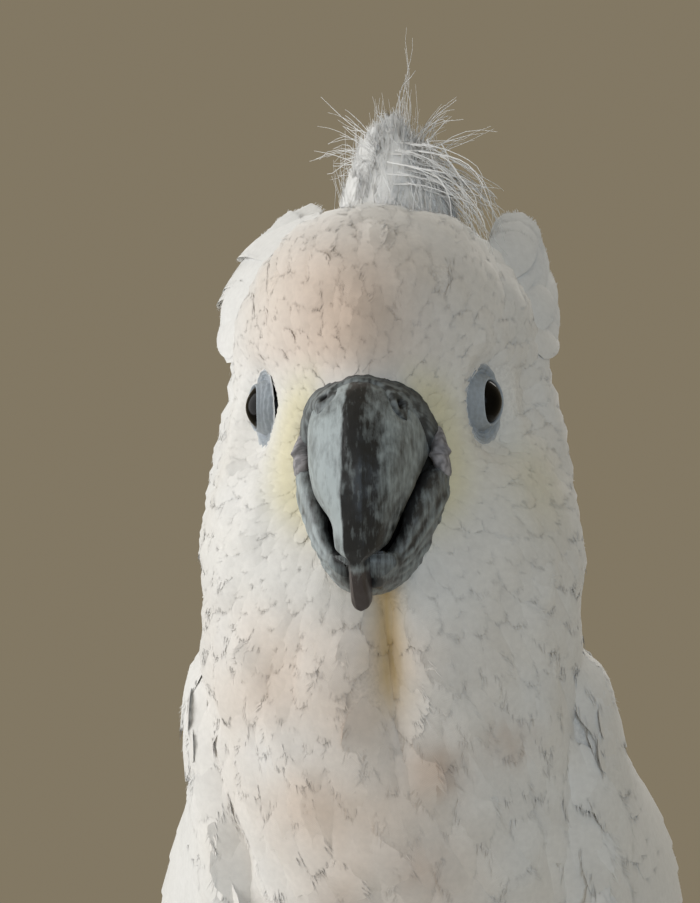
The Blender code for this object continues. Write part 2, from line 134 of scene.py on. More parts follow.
def bend(points):
    """Turns, tips and slides points of the straight bird, in millimetres."""
    p = np.asarray(points, float)
    height = p[..., 2]
    turn = HEAD_TURN * ease(*TURN_HEIGHTS, height)
    tip = HEAD_TIP * ease(*TIP_HEIGHTS, height)
    x, y, z = p[..., 0], p[..., 1] - TURN_AXIS_Y, height - TIP_AXIS_Z
    x, y = x * np.cos(turn) - y * np.sin(turn), x * np.sin(turn) + y * np.cos(turn)
    x, z = x * np.cos(tip) + z * np.sin(tip), z * np.cos(tip) - x * np.sin(tip)
    x = x + NECK_SLIDE * ease(*SLIDE_HEIGHTS, height)
    return np.stack([x, y + TURN_AXIS_Y, z + TIP_AXIS_Z], -1)


def box_middle(node):
    low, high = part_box(node)
    return np.array((low + high) / 2)


EYES = np.array([(EYE_X, EYE_Y, EYE_LEVEL), (-EYE_X, EYE_Y, EYE_LEVEL)])
CAD_EYES = np.array([box_middle("eye_left"), box_middle("eye_right")])
SHIFT = (CAD_EYES / MM - bend(EYES)).mean(0)


def pose(points):
    """The row frame's place, in metres, of points of the straight bird."""
    return (bend(points) + SHIFT) * MM


def pose_ways(points, ways):
    """Directions at those points, turned as the pose turns them."""
    step = 0.05
    return unit(bend(points + ways * step) - bend(points - ways * step))


def straighten(points):
    """The straight bird's place of points in the row frame."""
    target = np.asarray(points, float) / MM - SHIFT
    found = target.copy()
    for _ in range(14):
        found = found + target - bend(found)
    return found


def face_place(across, ahead, above):
    """A place told by how far it lies across, ahead of and above the point between the eyes."""
    return np.stack(np.broadcast_arrays(across, EYE_Y - ahead, EYE_LEVEL + above), -1)


def from_bill(points):
    """Distance from the root of the bill."""
    return length_of(points - BILL_BASE)


# ---------------- meshes


def add_piece(name, mesh, material, replaces=()):
    """An object that rides on the bird, stands for CAD nodes and takes the material it is given."""
    made = bpy.data.objects.new(name, mesh)
    bpy.context.scene.collection.objects.link(made)
    mesh.materials.append(material)
    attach(made, "root")
    if replaces:
        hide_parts(*replaces)


def store(mesh, name, kind, values):
    field = {"FLOAT_COLOR": "color", "FLOAT": "value", "FLOAT_VECTOR": "vector"}[kind]
    layer = mesh.attributes.new(name, kind, "POINT")
    layer.data.foreach_set(field, np.ascontiguousarray(values, np.float32).ravel())


def colour_points(mesh, tints):
    rgba = np.concatenate([tints, np.ones((len(tints), 1))], 1)
    store(mesh, "Tint", "FLOAT_COLOR", rgba)


def make_shape(name, points, faces, tint, material, replaces=(), powder=None):
    """A smooth piece from points of the straight bird and faces of three or four corners, turned out."""
    mesh = bpy.data.meshes.new(name)
    corners = np.array([f[:3] for f in faces] + [(f[0], f[2], f[3]) for f in faces if len(f) == 4])
    a, b, c = (points[corners[:, k]] - points.mean(0) for k in range(3))
    if (a * np.cross(b, c)).sum() < 0:
        faces = [tuple(f)[::-1] for f in faces]
    mesh.from_pydata(pose(points).tolist(), [], [tuple(f) for f in faces])
    mesh.polygons.foreach_set("use_smooth", [True] * len(mesh.polygons))
    mesh.update()
    if powder is not None:
        store(mesh, "PowderAndPaintedLight", "FLOAT", powder)
    colour_points(mesh, np.broadcast_to(tint, points.shape))
    add_piece(name, mesh, material, replaces)


def triangle_mesh(name, points, triangles):
    """The same from arrays, for the large meshes of the coat. The points are in the row frame."""
    mesh = bpy.data.meshes.new(name)
    count = len(triangles)
    mesh.vertices.add(len(points))
    mesh.vertices.foreach_set("co", points.astype(np.float32).ravel())
    mesh.loops.add(count * 3)
    mesh.loops.foreach_set("vertex_index", triangles.astype(np.int32).ravel())
    mesh.polygons.add(count)
    mesh.polygons.foreach_set("loop_start", np.arange(count, dtype=np.int32) * 3)
    mesh.polygons.foreach_set("use_smooth", np.ones(count, bool))
    mesh.update(calc_edges=True)
    mesh.validate()
    return mesh


def ring_faces(rings, closed_ends=True):
    """Quads over rings of points, one ring after another, with a fan at each end."""
    count, sides = rings.shape[:2]
    faces = []
    for a in range((count - 1) * sides):
        b = a + 1 if (a + 1) % sides else a + 1 - sides
        faces.append((a, b, b + sides, a + sides))
    if closed_ends:
        top = (count - 1) * sides
        for j in range(1, sides - 1):
            faces += [(0, j + 1, j), (top, top + j, top + j + 1)]
    return faces


def tube_rings(points, radii, sides, steps, across=(1, 0, 0), flat=1.0):
    """Rings of a round tube through the points; across is the way that its width lies."""
    rings = []
    turns = circle(sides)
    for i in range(steps + 1):
        share = i / steps
        ahead = unit(path(points, min(1, share + 0.02)) - path(points, max(0, share - 0.02)))
        side = unit(np.array(across, float) - ahead * np.dot(ahead, across))
        up = np.cross(side, ahead)
        radius = value_along(radii, share)
        offsets = np.outer(np.cos(turns), side) + np.outer(np.sin(turns), up) * flat
        rings.append(path(points, share) + offsets * radius)
    return np.array(rings)


def node_mesh(name):
    """Points of a CAD node on the straight bird, and its triangles."""
    data = NODES[name].data
    points = np.array([v.co for v in data.vertices], float)
    return straighten(points), [tuple(p.vertices) for p in data.polygons]


# ---------------- materials


class Look:
    """A material in the making, with short ways to add and join its nodes."""

    def __init__(self, name, **constants):
        self.made = bpy.data.materials.new(name)
        self.made.use_nodes = True
        self.tree = self.made.node_tree
        self.shader = self.tree.nodes["Principled BSDF"]
        for socket, value in constants.items():
            self.shader.inputs[socket.replace("_", " ")].default_value = value

    def node(self, kind, inputs=(), **settings):
        """A new node; its inputs are set by name or number, to values or to the outputs of other nodes."""
        node = self.tree.nodes.new("ShaderNode" + kind)
        for setting, value in settings.items():
            setattr(node, setting, value)
        for socket, value in dict(inputs).items():
            if isinstance(value, bpy.types.NodeSocket):
                self.tree.links.new(value, node.inputs[socket])
            else:
                node.inputs[socket].default_value = value
        return node.outputs

    def noise(self, scale, detail=3.0, stretch=None, rough=0.5):
        """A noise texture in the object's own coordinates, in metres; stretch scales its axes."""
        place = self.node("TexCoord")["Object"]
        if stretch:
            place = self.node("Mapping", {"Vector": place, "Scale": stretch})["Vector"]
        inputs = {"Vector": place, "Scale": scale, "Detail": detail, "Roughness": rough}
        return self.node("TexNoise", inputs)["Fac"]

    def ramp(self, fac, to_low=0.0, to_high=1.0, low=0.3, high=0.7):
        """Maps fac from low..high, by default a noise's usual range, to to_low..to_high."""
        inputs = {"Value": fac, "From Min": low, "From Max": high, "To Min": to_low, "To Max": to_high}
        return self.node("MapRange", inputs)["Result"]

    def blend(self, fac, first, second, kind="MIX"):
        """A colour mix, here of three-part colours, values or sockets."""
        colours = [(*c, 1.0) if isinstance(c, np.ndarray) else c for c in (first, second)]
        return self.node("Mix", {0: fac, 6: colours[0], 7: colours[1]}, data_type="RGBA", blend_type=kind)[2]

    def combine(self, operation, first, second):
        return self.node("Math", {0: first, 1: second}, operation=operation)[0]

    def bump(self, height, strength, distance, under=None):
        inputs = {"Height": height, "Strength": strength, "Distance": distance}
        if under:
            inputs["Normal"] = under
        return self.node("Bump", inputs)["Normal"]

    def attribute(self, name, output="Color"):
        return self.node("Attribute", attribute_name=name)[output]

    def shaded(self, shade):
        """The tint that comes with the mesh, times a shade."""
        return self.blend(1.0, self.attribute("Tint"), shade, "MULTIPLY")

    def finished(self, colour, roughness, normal):
        for socket, value in (("Base Color", colour), ("Roughness", roughness), ("Normal", normal)):
            self.tree.links.new(value, self.shader.inputs[socket])
        return self.made


def plumage_material():
    """White feather: tinted at its place, satin soft, with the fine lines of its barbs."""
    look = Look("plumage", Specular_IOR_Level=0.35, Sheen_Weight=0.25, Sheen_Roughness=0.5)
    speckle, cloud = look.noise(900.0, 2.0), look.noise(70.0)
    shade = look.combine("MULTIPLY", look.ramp(speckle, 0.93), look.ramp(cloud, 0.95))
    vane = look.node("UVMap", uv_map="Vane")["UV"]
    barbs = look.node("TexWave", {"Vector": vane, "Scale": 0.8, "Distortion": 3.0, "Detail": 2.0})["Fac"]
    roughness = look.ramp(cloud, 0.62, 0.78)
    return look.finished(look.shaded(shade), roughness, look.bump(barbs, 0.10, 0.00008))


def skin_material():
    """The bird's skin under the coat: the coat's own markings over fine down."""
    look = Look("skin", Specular_IOR_Level=0.2)
    down = look.noise(1400.0)
    colour = look.shaded(look.ramp(down, 0.84))
    return look.finished(colour, look.ramp(down, 0.75, 0.95), look.bump(down, 0.5, 0.0004))


def bill_material():
    """Dark horn under pale powder and painted light: where they lie comes with the mesh, streaks run along
    the bill.
    """
    look = Look("bill_horn", Specular_IOR_Level=0.5)
    streaks = look.noise(260.0, 5.0, (5.0, 1.4, 1.0), 0.62)
    smears = look.noise(190.0, 4.0, rough=0.6)
    # the powder attribute also carries painted light on the bill's right side
    pale_and_painted_light = look.combine("ADD", look.attribute("PowderAndPaintedLight", "Fac"), look.ramp(streaks, -0.30, 0.30))
    pale_and_painted_light = look.combine("ADD", pale_and_painted_light, look.ramp(smears, -0.18, 0.18, 0.35, 0.65))
    cover = look.ramp(pale_and_painted_light, low=0.15, high=1.0)
    colour = look.blend(cover, look.attribute("Tint"), linear(0.66, 0.70, 0.71))
    fine = look.bump(look.noise(1500.0, 2.0), 0.15, 0.0001, look.bump(streaks, 0.35, 0.0003))
    return look.finished(colour, look.ramp(cover, 0.36, 0.62, 0.0, 1.0), fine)


def leather_material(name, scale, strength):
    """Bare skin: tinted at its place, with fine creases."""
    look = Look(name)
    grain, patches = look.noise(scale, 4.0, rough=0.6), look.noise(scale * 0.16, 2.0)
    creases, clouds = look.ramp(grain, 0.86, 1.06), look.ramp(patches, 0.9, 1.05)
    shade = look.combine("MULTIPLY", creases, clouds)
    roughness = look.ramp(grain, 0.5, 0.72)
    return look.finished(look.shaded(shade), roughness, look.bump(grain, strength, 0.0003))


def eye_material():
    """A near black iris round a black pupil, wet and glossy."""
    look = Look("eye", IOR=1.34, Specular_IOR_Level=0.14, Coat_Weight=0.07, Coat_Roughness=0.03)
    fibres = look.noise(2200.0)
    colour = look.shaded(look.ramp(fibres, 0.6, 1.3))
    return look.finished(colour, look.ramp(fibres, 0.10, 0.16), look.bump(fibres, 0.04, 0.00005))


def floor_material():
    look = Look("floor")
    grain = look.noise(60.0)
    colour = look.blend(grain, linear(0.80, 0.79, 0.76), linear(0.84, 0.83, 0.80))
    return look.finished(colour, look.ramp(grain, 0.6, 0.75), look.bump(grain, 0.05, 0.0005))


# ---------------- the skin

FLESH = ("head", "neck", "trunk", "thigh_left", "thigh_right")
SWELL = 0.6  # how far the flesh nodes are swollen, so that the gaps between them close
VOXEL, SKIN_ROUNDS = 1.4, 26  # the skin's fineness, and how often it is smoothed
FILLER = -0.9  # swell of the bill's roots that fill their places in the head
WHITE = linear(0.95, 0.95, 0.945)


def smooth_points(points, faces, rounds, weight):
    """Moves each point towards the middle of its neighbours; weight is how much, for each point."""
    edges = np.array(sorted({tuple(sorted((f[k], f[k - 1]))) for f in faces for k in range(len(f))}))
    a, b = edges[:, 0], edges[:, 1]
    count = np.bincount(a, minlength=len(points)) + np.bincount(b, minlength=len(points))
    for _ in range(rounds):
        total = np.zeros_like(points)
        for here, there in ((a, b), (b, a)):
            for axis in range(3):
                total[:, axis] += np.bincount(here, points[there, axis], len(points))
        points = points + (total / count[:, None] - points) * weight[:, None]
    return points


def point_normals(points, faces):
    """Smooth normals of a surface at its points."""
    mesh = bpy.data.meshes.new("measure")
    mesh.from_pydata(points.tolist(), [], faces)
    found = np.zeros(len(points) * 3)
    mesh.vertex_normals.foreach_get("vector", found)
    bpy.data.meshes.remove(mesh)
    return found.reshape(-1, 3)


def remeshed(parts, voxel):
    """One closed surface round several closed ones that overlap."""
    points, faces = [], []
    for part_points, part_faces in parts:
        start = sum(len(p) for p in points)
        points.append(part_points)
        faces += [tuple(start + k for k in f) for f in part_faces]
    mesh = bpy.data.meshes.new("remesh")
    mesh.from_pydata(np.concatenate(points).tolist(), [], faces)
    made = bpy.data.objects.new("remesh", mesh)
    bpy.context.scene.collection.objects.link(made)
    step = made.modifiers.new("remesh", "REMESH")
    step.mode = "VOXEL"
    step.voxel_size = voxel
    ready = made.evaluated_get(bpy.context.evaluated_depsgraph_get()).to_mesh()
    points = np.array([v.co for v in ready.vertices], float)
    faces = [tuple(p.vertices) for p in ready.polygons]
    bpy.data.objects.remove(made)
    bpy.data.meshes.remove(mesh)
    return points, faces


def eye_way(side):
    """The way an eye looks, on the straight bird."""
    return np.array([side * math.sin(math.radians(66)), -math.cos(math.radians(66)), 0.03])


def eye_distance(points):
    """Distance from the nearer eye's middle."""
    return np.minimum(*(length_of(points - eye) for eye in EYES))


def coat_depth(points):
    """How deep the skin lies under the tips of the coat."""
    face = from_bill(points)
    depth = 0.7 + 0.8 * ease(14, 45, face) + 1.3 * ease(50, 90, face)
    depth += 0.8 * ease(90, 130, face)
    return depth * (0.55 + 0.45 * ease(6, 16, eye_distance(points)))


def relief(points):
    """Soft folds of the plumage: the parted throat with a puff on each side, and uneven fullness."""
    x, y, z = points.T
    front = ease(-62, -74, y)
    cleft_x = 3.5 + 0.03 * (206 - z)
    height = ease(176, 200, z) * ease(222, 212, z)
    cleft = -3.4 * bell(x - cleft_x, 2.6) * height
    puffs = 1.5 * (bell(x - cleft_x - 9.5, 7) + bell(x - cleft_x + 9.5, 7)) * bell(z - 204, 12)
    uneven = 0.45 * waves(points, 17, 3) + 0.35 * waves(points, 9, 4)
    uneven *= ease(14, 34, from_bill(points))
    return (cleft + puffs) * front + uneven


def sink_eyes(points):
    """Lowers the skin round each eyeball, so that ball and lids stand a little out of a shallow hollow."""
    for side, eye in zip((1, -1), EYES):
        way = unit(eye_way(side))
        height = (points - eye) @ way
        radius = length_of(points - eye - height[:, None] * way)
        most = 1.6 + 0.30 * np.maximum(0.0, radius - 6.5) ** 1.5
        excess = np.where((height > most) & (height > -4) & (radius < 12), height - most, 0.0)
        points = points - excess[:, None] * way
    return points


def make_skin():
    """The surface that the coat grows from: points, faces and normals on the straight bird."""
    parts = []
    for name in FLESH:
        points, faces = node_mesh(name)
        parts.append((points + point_normals(points, faces) * SWELL, faces))
    for rings in (upper_bill_rings(-0.03, 0.42, 8, 24, FILLER), lower_bill_plug()):
        parts.append((rings.reshape(-1, 3), ring_faces(rings)))
    points, faces = remeshed(parts, VOXEL)
    near_bill = from_bill(points)
    weight = 0.15 + 0.35 * ease(16, 34, near_bill)
    points = smooth_points(points, faces, SKIN_ROUNDS, weight)
    normals = point_normals(points, faces)
    depth = SWELL + coat_depth(points) - relief(points)
    points = points - normals * depth[:, None]
    points = smooth_points(sink_eyes(points), faces, 3, weight)
    return points, faces, point_normals(points, faces)


def sphere_rings(rings, sides):
    """Rings of a unit sphere from pole to pole along +X."""
    polar = np.linspace(0.02, math.pi - 0.02, rings)
    turns = circle(sides)
    made = np.zeros((rings, sides, 3))
    made[..., 0] = np.cos(polar)[:, None]
    made[..., 1] = np.sin(polar)[:, None] * np.cos(turns)
    made[..., 2] = np.sin(polar)[:, None] * np.sin(turns)
    return made


# ---------------- the bill

# Places are ahead of the point between the eyes and above it, as in the CAD model.
CULMEN = [(18, 6), (25.5, 4.5), (32.5, -1.5), (36.2, -10.5), (35.6, -20), (32.4, -27.5), (28.8, -32.8)]
TOMIUM = [(9, -7), (14, -8.4), (19, -11.2), (23.2, -15.2), (25.8, -20.5), (27.2, -26.5), (27.6, -32.4)]
UPPER_HALF_WIDTH = [11.2, 10.5, 9.4, 7.7, 5.2, 2.3, 0.9]
CERE_END, CERE_SWELL, CERE_WIDEN = 0.13, 0.5, 1.2
RIDGE_HALF_WIDTH = 1.7  # of the narrow flat ridge down the middle of the bill
HOOK_START, HOOK_HALF_WIDTH = (0.70, 0.75), 1.8  # where the bill narrows to its hook, and the hook's size
NOSTRILS = {-1: (-5.4, 23.2, 2.4), 1: (8.1, 23.2, 1.9)}  # across, ahead and above
UPPER_SLIDE, LOWER_SLIDE = 0.5, 0.9  # how far the bill's halves sit to the bird's left


def bill_half_width(share):
    half = value_along(UPPER_HALF_WIDTH, min(1.0, max(0.0, share)))
    end = max(0.0, (share - 0.93) / 0.07)
    hook = HOOK_HALF_WIDTH * math.sqrt(max(0.03, 1 - min(1.0, end) ** 2))
    step = ease(*HOOK_START, share)
    return float(half * (1 - step) + hook * step)


def roof_height(across, band):
    """Height over the cutting edge, 0 to 1, of a section of the bill: a flat band, a slope on each side."""
    away = np.abs(across)
    slope = np.clip((away - band) / (1 - band), 0, 1)
    flank = 0.985 * np.maximum(0.0, 1 - 0.34 * slope - 0.66 * slope**6) ** 0.9
    flat = 1 - 0.015 * (away / band) ** 2
    return np.where(away < band, flat, flank)


def upper_bill_rings(start, end, steps, sides, swell=0.0, widen=0.0):
    """Sections of the upper bill, each a roof and a slightly hollow underside."""
    roof_count = sides * 3 // 4
    underside = np.linspace(1, -1, sides - roof_count + 2)[1:-1]
    across = np.concatenate([np.linspace(-1, 1, roof_count), underside])
    across = np.sign(across) * np.abs(across) ** 0.9
    on_roof = np.arange(sides) < roof_count
    rings = []
    for i in range(steps + 1):
        share = start + (end - start) * i / steps
        top, edge = path(CULMEN, share), path(TOMIUM, share)
        spread = (top - edge) / np.linalg.norm(top - edge) * swell
        top, edge = top + spread, edge - spread
        half = bill_half_width(share) + swell + widen
        band = min(RIDGE_HALF_WIDTH / half, 0.48)
        hollow = 0.09 * (1 - across**2) * (1 - min(1.0, max(0.0, share)))
        height = np.where(on_roof, roof_height(across, band), hollow)
        ahead = edge[0] + (top[0] - edge[0]) * height
        above = edge[1] + (top[1] - edge[1]) * height
        hollow_side = 1.3 * bell(share - 0.6, 0.09) * ease(0.2, 0.9, -across)
        rings.append(face_place(across * half + UPPER_SLIDE + hollow_side, ahead, above))
    return np.array(rings)


LOWER_RIM = [(3, -6.5), (10, -8.3), (16.5, -11.8), (21.5, -16), (24.9, -20.2), (26.9, -22.8), (28.6, -23.9)]
LOWER_KEEL = [(1, -23), (6, -28), (12, -30.6), (18, -31.4), (23, -31.0), (27, -29.3), (29.2, -27.4)]
LOWER_HALF_WIDTH = [13.2, 13.4, 11.8, 9.7, 7.7, 6.0, 5.2]
LOWER_WALL = 1.9  # the scoop's thickness


def lower_bill_section(rim, keel, half, count):
    """From the left rim down round the keel and up to the right rim: a wall that bulges, then narrows."""
    turns = np.linspace(-1, 1, count)
    depth = 1 - np.abs(turns) ** 1.25
    bulge = 1 + 0.07 * np.sin(math.pi * np.minimum(1, depth / 0.5))
    narrow = (1 - 0.58 * depth**3.2) * np.sqrt(np.maximum(0.0, 1 - depth**18))
    place = rim + (keel - rim) * depth[:, None]
    return face_place(np.sign(turns) * half * bulge * narrow, *place.T)


def lower_bill_rings(steps, sides, end=1.0, swell=0.0):
    """Sections of the lower bill: a scoop, wider than the upper bill, with a thin wall and an open top."""
    rings = []
    for i in range(steps + 1):
        share = end * i / steps
        rim, keel = path(LOWER_RIM, share), path(LOWER_KEEL, share)
        down = (keel - rim) / np.linalg.norm(keel - rim)
        half = value_along(LOWER_HALF_WIDTH, share) + swell
        wall = min(LOWER_WALL + 1.4 * ease(0.66, 0.44, share), half * 0.35)
        outer = lower_bill_section(rim, keel + down * swell, half, sides // 2)
        inner = lower_bill_section(rim + down * 0.15, keel - down * wall, half - wall, sides // 2)
        ring = np.concatenate([outer, inner[::-1]])
        ring[:, 0] += LOWER_SLIDE
        notch = 2.4 * bell(ring[:, 0] - UPPER_SLIDE, 2.4) * ease(0.80, 1.0, share)
        ring[:, 1] += notch
        rings.append(ring)
    return np.array(rings)


def lower_bill_plug():
    """A solid a little smaller than the back of the lower bill, which fills its place in the head."""
    return lower_bill_rings(8, 48, 0.5, FILLER)[:, :24]


def powder_and_painted_light(points, low, high):
    """How much pale powder and painted light lie on the bill: up to the ridge on the right side, which faces
    the window light, further off on the left.
    """
    away = points[:, 0] - UPPER_SLIDE + 0.16 * waves(points, 5, 13)
    above = points[:, 2] - EYE_LEVEL
    # painted light: the right side, which faces the window light, is powdered right up to the ridge
    right = ease(RIDGE_HALF_WIDTH - 0.25, RIDGE_HALF_WIDTH + 0.15, -away)
    left = 0.75 * ease(2.6, 6.5, away) * (0.3 + 0.7 * ease(-19, -11, above))
    root = 0.55 * ease(-3.0, 1.5, above) * ease(0.5, 3.0, np.abs(away))
    smear = 0.25 * ease(0.2, 1.0, waves(points, 3.2, 14)) * ease(1.5, 3.5, away)
    return low + (high - low) * np.clip(np.maximum(np.maximum(right, left), root) + smear, 0, 1)


def nostril_axes(points):
    """For each point, its places lengthwise and crosswise of the nearer nostril's slit."""
    best = None
    for side, middle in NOSTRILS.items():
        apart = points - face_place(*middle)
        slit = unit(np.array([side * 0.35, 0.25, 1.0]))
        lengthwise = apart @ slit
        crosswise = length_of(apart - lengthwise[:, None] * slit)
        here = np.stack([lengthwise, crosswise])
        if best is None:
            best = here
        else:
            best = np.where(np.abs(here).sum(0) < np.abs(best).sum(0), here, best)
    return best


def make_upper_bill(material):
    """The upper bill's horn: dark ridge and hook, powdered sides with painted light on the right one, dents
    for the nostrils.
    """
    rings = upper_bill_rings(CERE_END - 0.02, 1.0, 120, 96)
    points = rings.reshape(-1, 3)
    lengthwise, crosswise = nostril_axes(points)
    inwards = unit(face_place(UPPER_SLIDE, 10, -6) - points)
    points = points + inwards * (3.0 * bell(lengthwise, 2.6) * bell(crosswise, 1.7))[:, None]
    wear = 0.05 * waves(points, 2.6, 11) + 0.07 * waves(points, 6, 12)
    points = points + unit(points - points.mean(0)) * wear[:, None]
    hook = ease(EYE_LEVEL - 24, EYE_LEVEL - 26, points[:, 2])
    pale_ring = 0.5 * bell(points[:, 2] - EYE_LEVEL + 25.0, 0.7)
    # the powder carries painted light on the right side
    powder = powder_and_painted_light(points, 0.10, 0.85) * (1 - 0.9 * hook) + pale_ring
    dark = linear(0.155, 0.162, 0.17)
    horn = dark + hook[:, None] * (linear(0.25, 0.22, 0.22) - dark)
    make_shape("upper_bill_horn", points, ring_faces(rings), horn, material, ["upper_bill"], powder)


def make_cere(material):
    """The bare band at the bill's root, lower on each side where it holds a slit nostril."""
    start, end, steps = -0.04, 0.22, 40
    rings = upper_bill_rings(start, end, steps, 140, CERE_SWELL)
    shares = np.linspace(start, end, steps + 1)[:, None]
    across = rings[..., 0] - UPPER_SLIDE
    across = across / np.abs(across).max(1, keepdims=True)
    rings[..., 0] += across * CERE_WIDEN * ease(0.16, 0.02, shares)
    points = rings.reshape(-1, 3)
    outwards = unit(points - face_place(UPPER_SLIDE, 14, -2))
    lowest = 0.09 + 0.10 * bell(np.abs(across) - 0.62, 0.2)
    under_horn = ease(lowest - 0.02, lowest + 0.025, shares).ravel()
    lengthwise, crosswise = nostril_axes(points)
    pit = bell(lengthwise, 1.6) * bell(crosswise, 0.85)
    brow = bell(lengthwise, 2.6) * bell(crosswise, 1.7)
    lift = 0.10 * waves(points, 2.2, 15) + 0.35 * brow - 2.0 * pit - 0.95 * under_horn * (1 - brow)
    points = points + outwards * lift[:, None]
    upright = waves(points * (1.0, 1.0, 0.35), 1.5, 16)
    streaks = 0.5 + 0.5 * np.tanh(1.8 * upright + 0.8 * waves(points, 4, 17))
    lower = ease(0.02, 0.12, shares + 0 * rings[..., 0]).ravel()
    # painted light: besides its streaks, the cere is paler on the right side, which faces the window light
    pale = np.clip(streaks * (0.25 + 0.75 * lower) + 0.2 * ease(2, 8, -points[:, 0]), 0, 1)[:, None]
    tint = linear(0.235, 0.245, 0.25) * (1 - pale) + linear(0.53, 0.56, 0.57) * pale
    # painted shade: the nostril pits are darkened almost to black
    tint = tint * (1 - 0.97 * ease(0.10, 0.5, pit))[:, None]
    make_shape("cere_skin", points, ring_faces(rings), tint, material, ["cere"])


def make_gape(side, word, material):
    """The soft fold of bare skin that joins the two halves of the bill at the corner of the mouth."""
    line = [(10.9, 6, -3.0), (11.6, 10.5, -5.5), (12.1, 12.5, -8.2), (12.4, 11.5, -11.0), (12.3, 7.0, -13.5)]
    line = [face_place(side * across + LOWER_SLIDE, ahead, above) for across, ahead, above in line]
    steps, sides = 46, 26
    rings = tube_rings(line, (1.0, 1.9, 2.1, 1.9, 1.1), sides, steps, (0, 0.3, 1), 0.75)
    lengthwise = np.linspace(0, 1, steps + 1)[:, None]
    around = circle(sides)
    folds = 0.12 * np.sin(2 * around + 2.0 * np.sin(5 * lengthwise)) + 0.08 * waves(rings, 2.2, 31)
    rings = rings + unit(rings - rings.mean(1, keepdims=True)) * folds[..., None]
    points = rings.reshape(-1, 3)
    grain = 0.5 + 0.5 * np.tanh(1.5 * waves(points, 1.3, 32))
    tint = linear(0.66, 0.65, 0.67) * (0.45 + 0.65 * grain)[:, None]
    make_shape(f"gape_skin_{word}", points, ring_faces(rings), tint, material)


def make_mouth(material):
    """The dark inside of the mouth, seen through the gap between the bill's halves."""
    rings = tube_rings([face_place(0.7, 2, -12), face_place(0.7, 22, -21)], (9.5, 5.5), 24, 8)
    points = rings.reshape(-1, 3)
    points = points + unit(points - points.mean(0)) * (0.3 * waves(points, 4, 33))[:, None]
    make_shape("mouth", points, ring_faces(rings), linear(0.10, 0.09, 0.09), material)


def make_lower_bill(material):
    """The lower bill's scoop, ridged along its sides and notched where the hook lies in it."""
    steps, sides = 110, 160
    rings = lower_bill_rings(steps, sides)
    outer = np.arange(sides) < sides // 2
    turns = np.abs(np.linspace(-1, 1, sides // 2))
    turns = np.concatenate([turns, turns[::-1]])
    centres = rings[:, outer].mean(1, keepdims=True)
    ridges = 0.16 * np.sin(turns * 42) * ease(0.25, 0.5, turns) * outer
    calm = ease(0.9, 0.7, np.linspace(0, 1, steps + 1))
    away = unit(rings - centres)
    points = (rings + away * np.outer(calm, ridges)[..., None]).reshape(-1, 3)
    points = points + away.reshape(-1, 3) * (0.12 * waves(points, 3.0, 21))[:, None]
    shares = np.repeat(np.linspace(0, 1, steps + 1), sides)
    across = np.abs(points[:, 0] - LOWER_SLIDE)
    front = ease(0.78, 1.0, shares) * np.tile(ease(0.55, 1.0, turns), steps + 1)
    teeth = 1.3 * bell(across - 4.0, 1.3) - 0.9 * bell(across, 2.2) + 0.3 * waves(points, 1.6, 22)
    points[:, 2] += front * teeth
    outer = np.tile(outer, steps + 1)
    lines = np.tile(np.sin(turns * 42), steps + 1) * ease(-0.6, 0.6, waves(points, 6, 23))
    # painted light: paler on the right side, which faces the window light
    pale = 0.3 * ease(0, -7, points[:, 0])
    powder = np.where(outer, 0.30 + (0.12 + 0.22 * lines) * np.repeat(calm, sides) + pale, 0.05)
    # painted shade: the scoop's inner wall is darkened towards the front
    deep = 0.16 + 0.84 * ease(0.75, 0.35, shares)
    horn = linear(0.235, 0.24, 0.245) * np.where(outer, 1.0, deep)[:, None]
    make_shape("lower_bill_horn", points, ring_faces(rings), horn, material, ["lower_bill"], powder)


# ---------------- the eyes

OPENING, LID_THICKNESS = 3.75, 0.28  # radius of the opening between the lids, and their thickness
HANDOVER = 1.1  # how far the bare skin runs on under the feathers round it
FAR_OUT = 14.0  # where the rays start that find the skin under the lids


def eye_frame(side):
    """The eye's own directions: the way it looks, up, and towards the bill."""
    way = unit(eye_way(side))
    up = unit(np.array([0.0, 0.0, 1.0]) - way * way[2])
    return way, up, unit(np.cross(up, way)) * side


def bare_reach(turn):
    """Radius of the bare skin round the eye: wide ahead of it and below, hardly any behind it."""
    return 5.95 + 0.95 * np.cos(turn) - 0.45 * np.sin(turn) + 0.9 * np.sin(turn) ** 2


def make_eye(side, word, material):
    """The eyeball: pole towards the way the eye looks, black pupil, near black iris."""
    ball = sphere_rings(40, 56)
    way, up, ahead = eye_frame(side)
    polar = np.arccos(np.clip(ball[..., 0], -1, 1))
    cornea = 1 + 0.05 * bell(polar, 0.55)
    turned = ball[..., :1] * way + ball[..., 1:2] * up + ball[..., 2:3] * ahead
    centre = EYES[0 if side > 0 else 1]
    points = (centre + turned * cornea[..., None] * EYE_RADIUS).reshape(-1, 3)
    iris = linear(0.022, 0.021, 0.021) * ease(23, 25, np.degrees(polar).ravel())[:, None] + 0.0012
    make_shape(f"eyeball_{word}", points, ring_faces(ball), iris, material, [f"eye_{word}"])


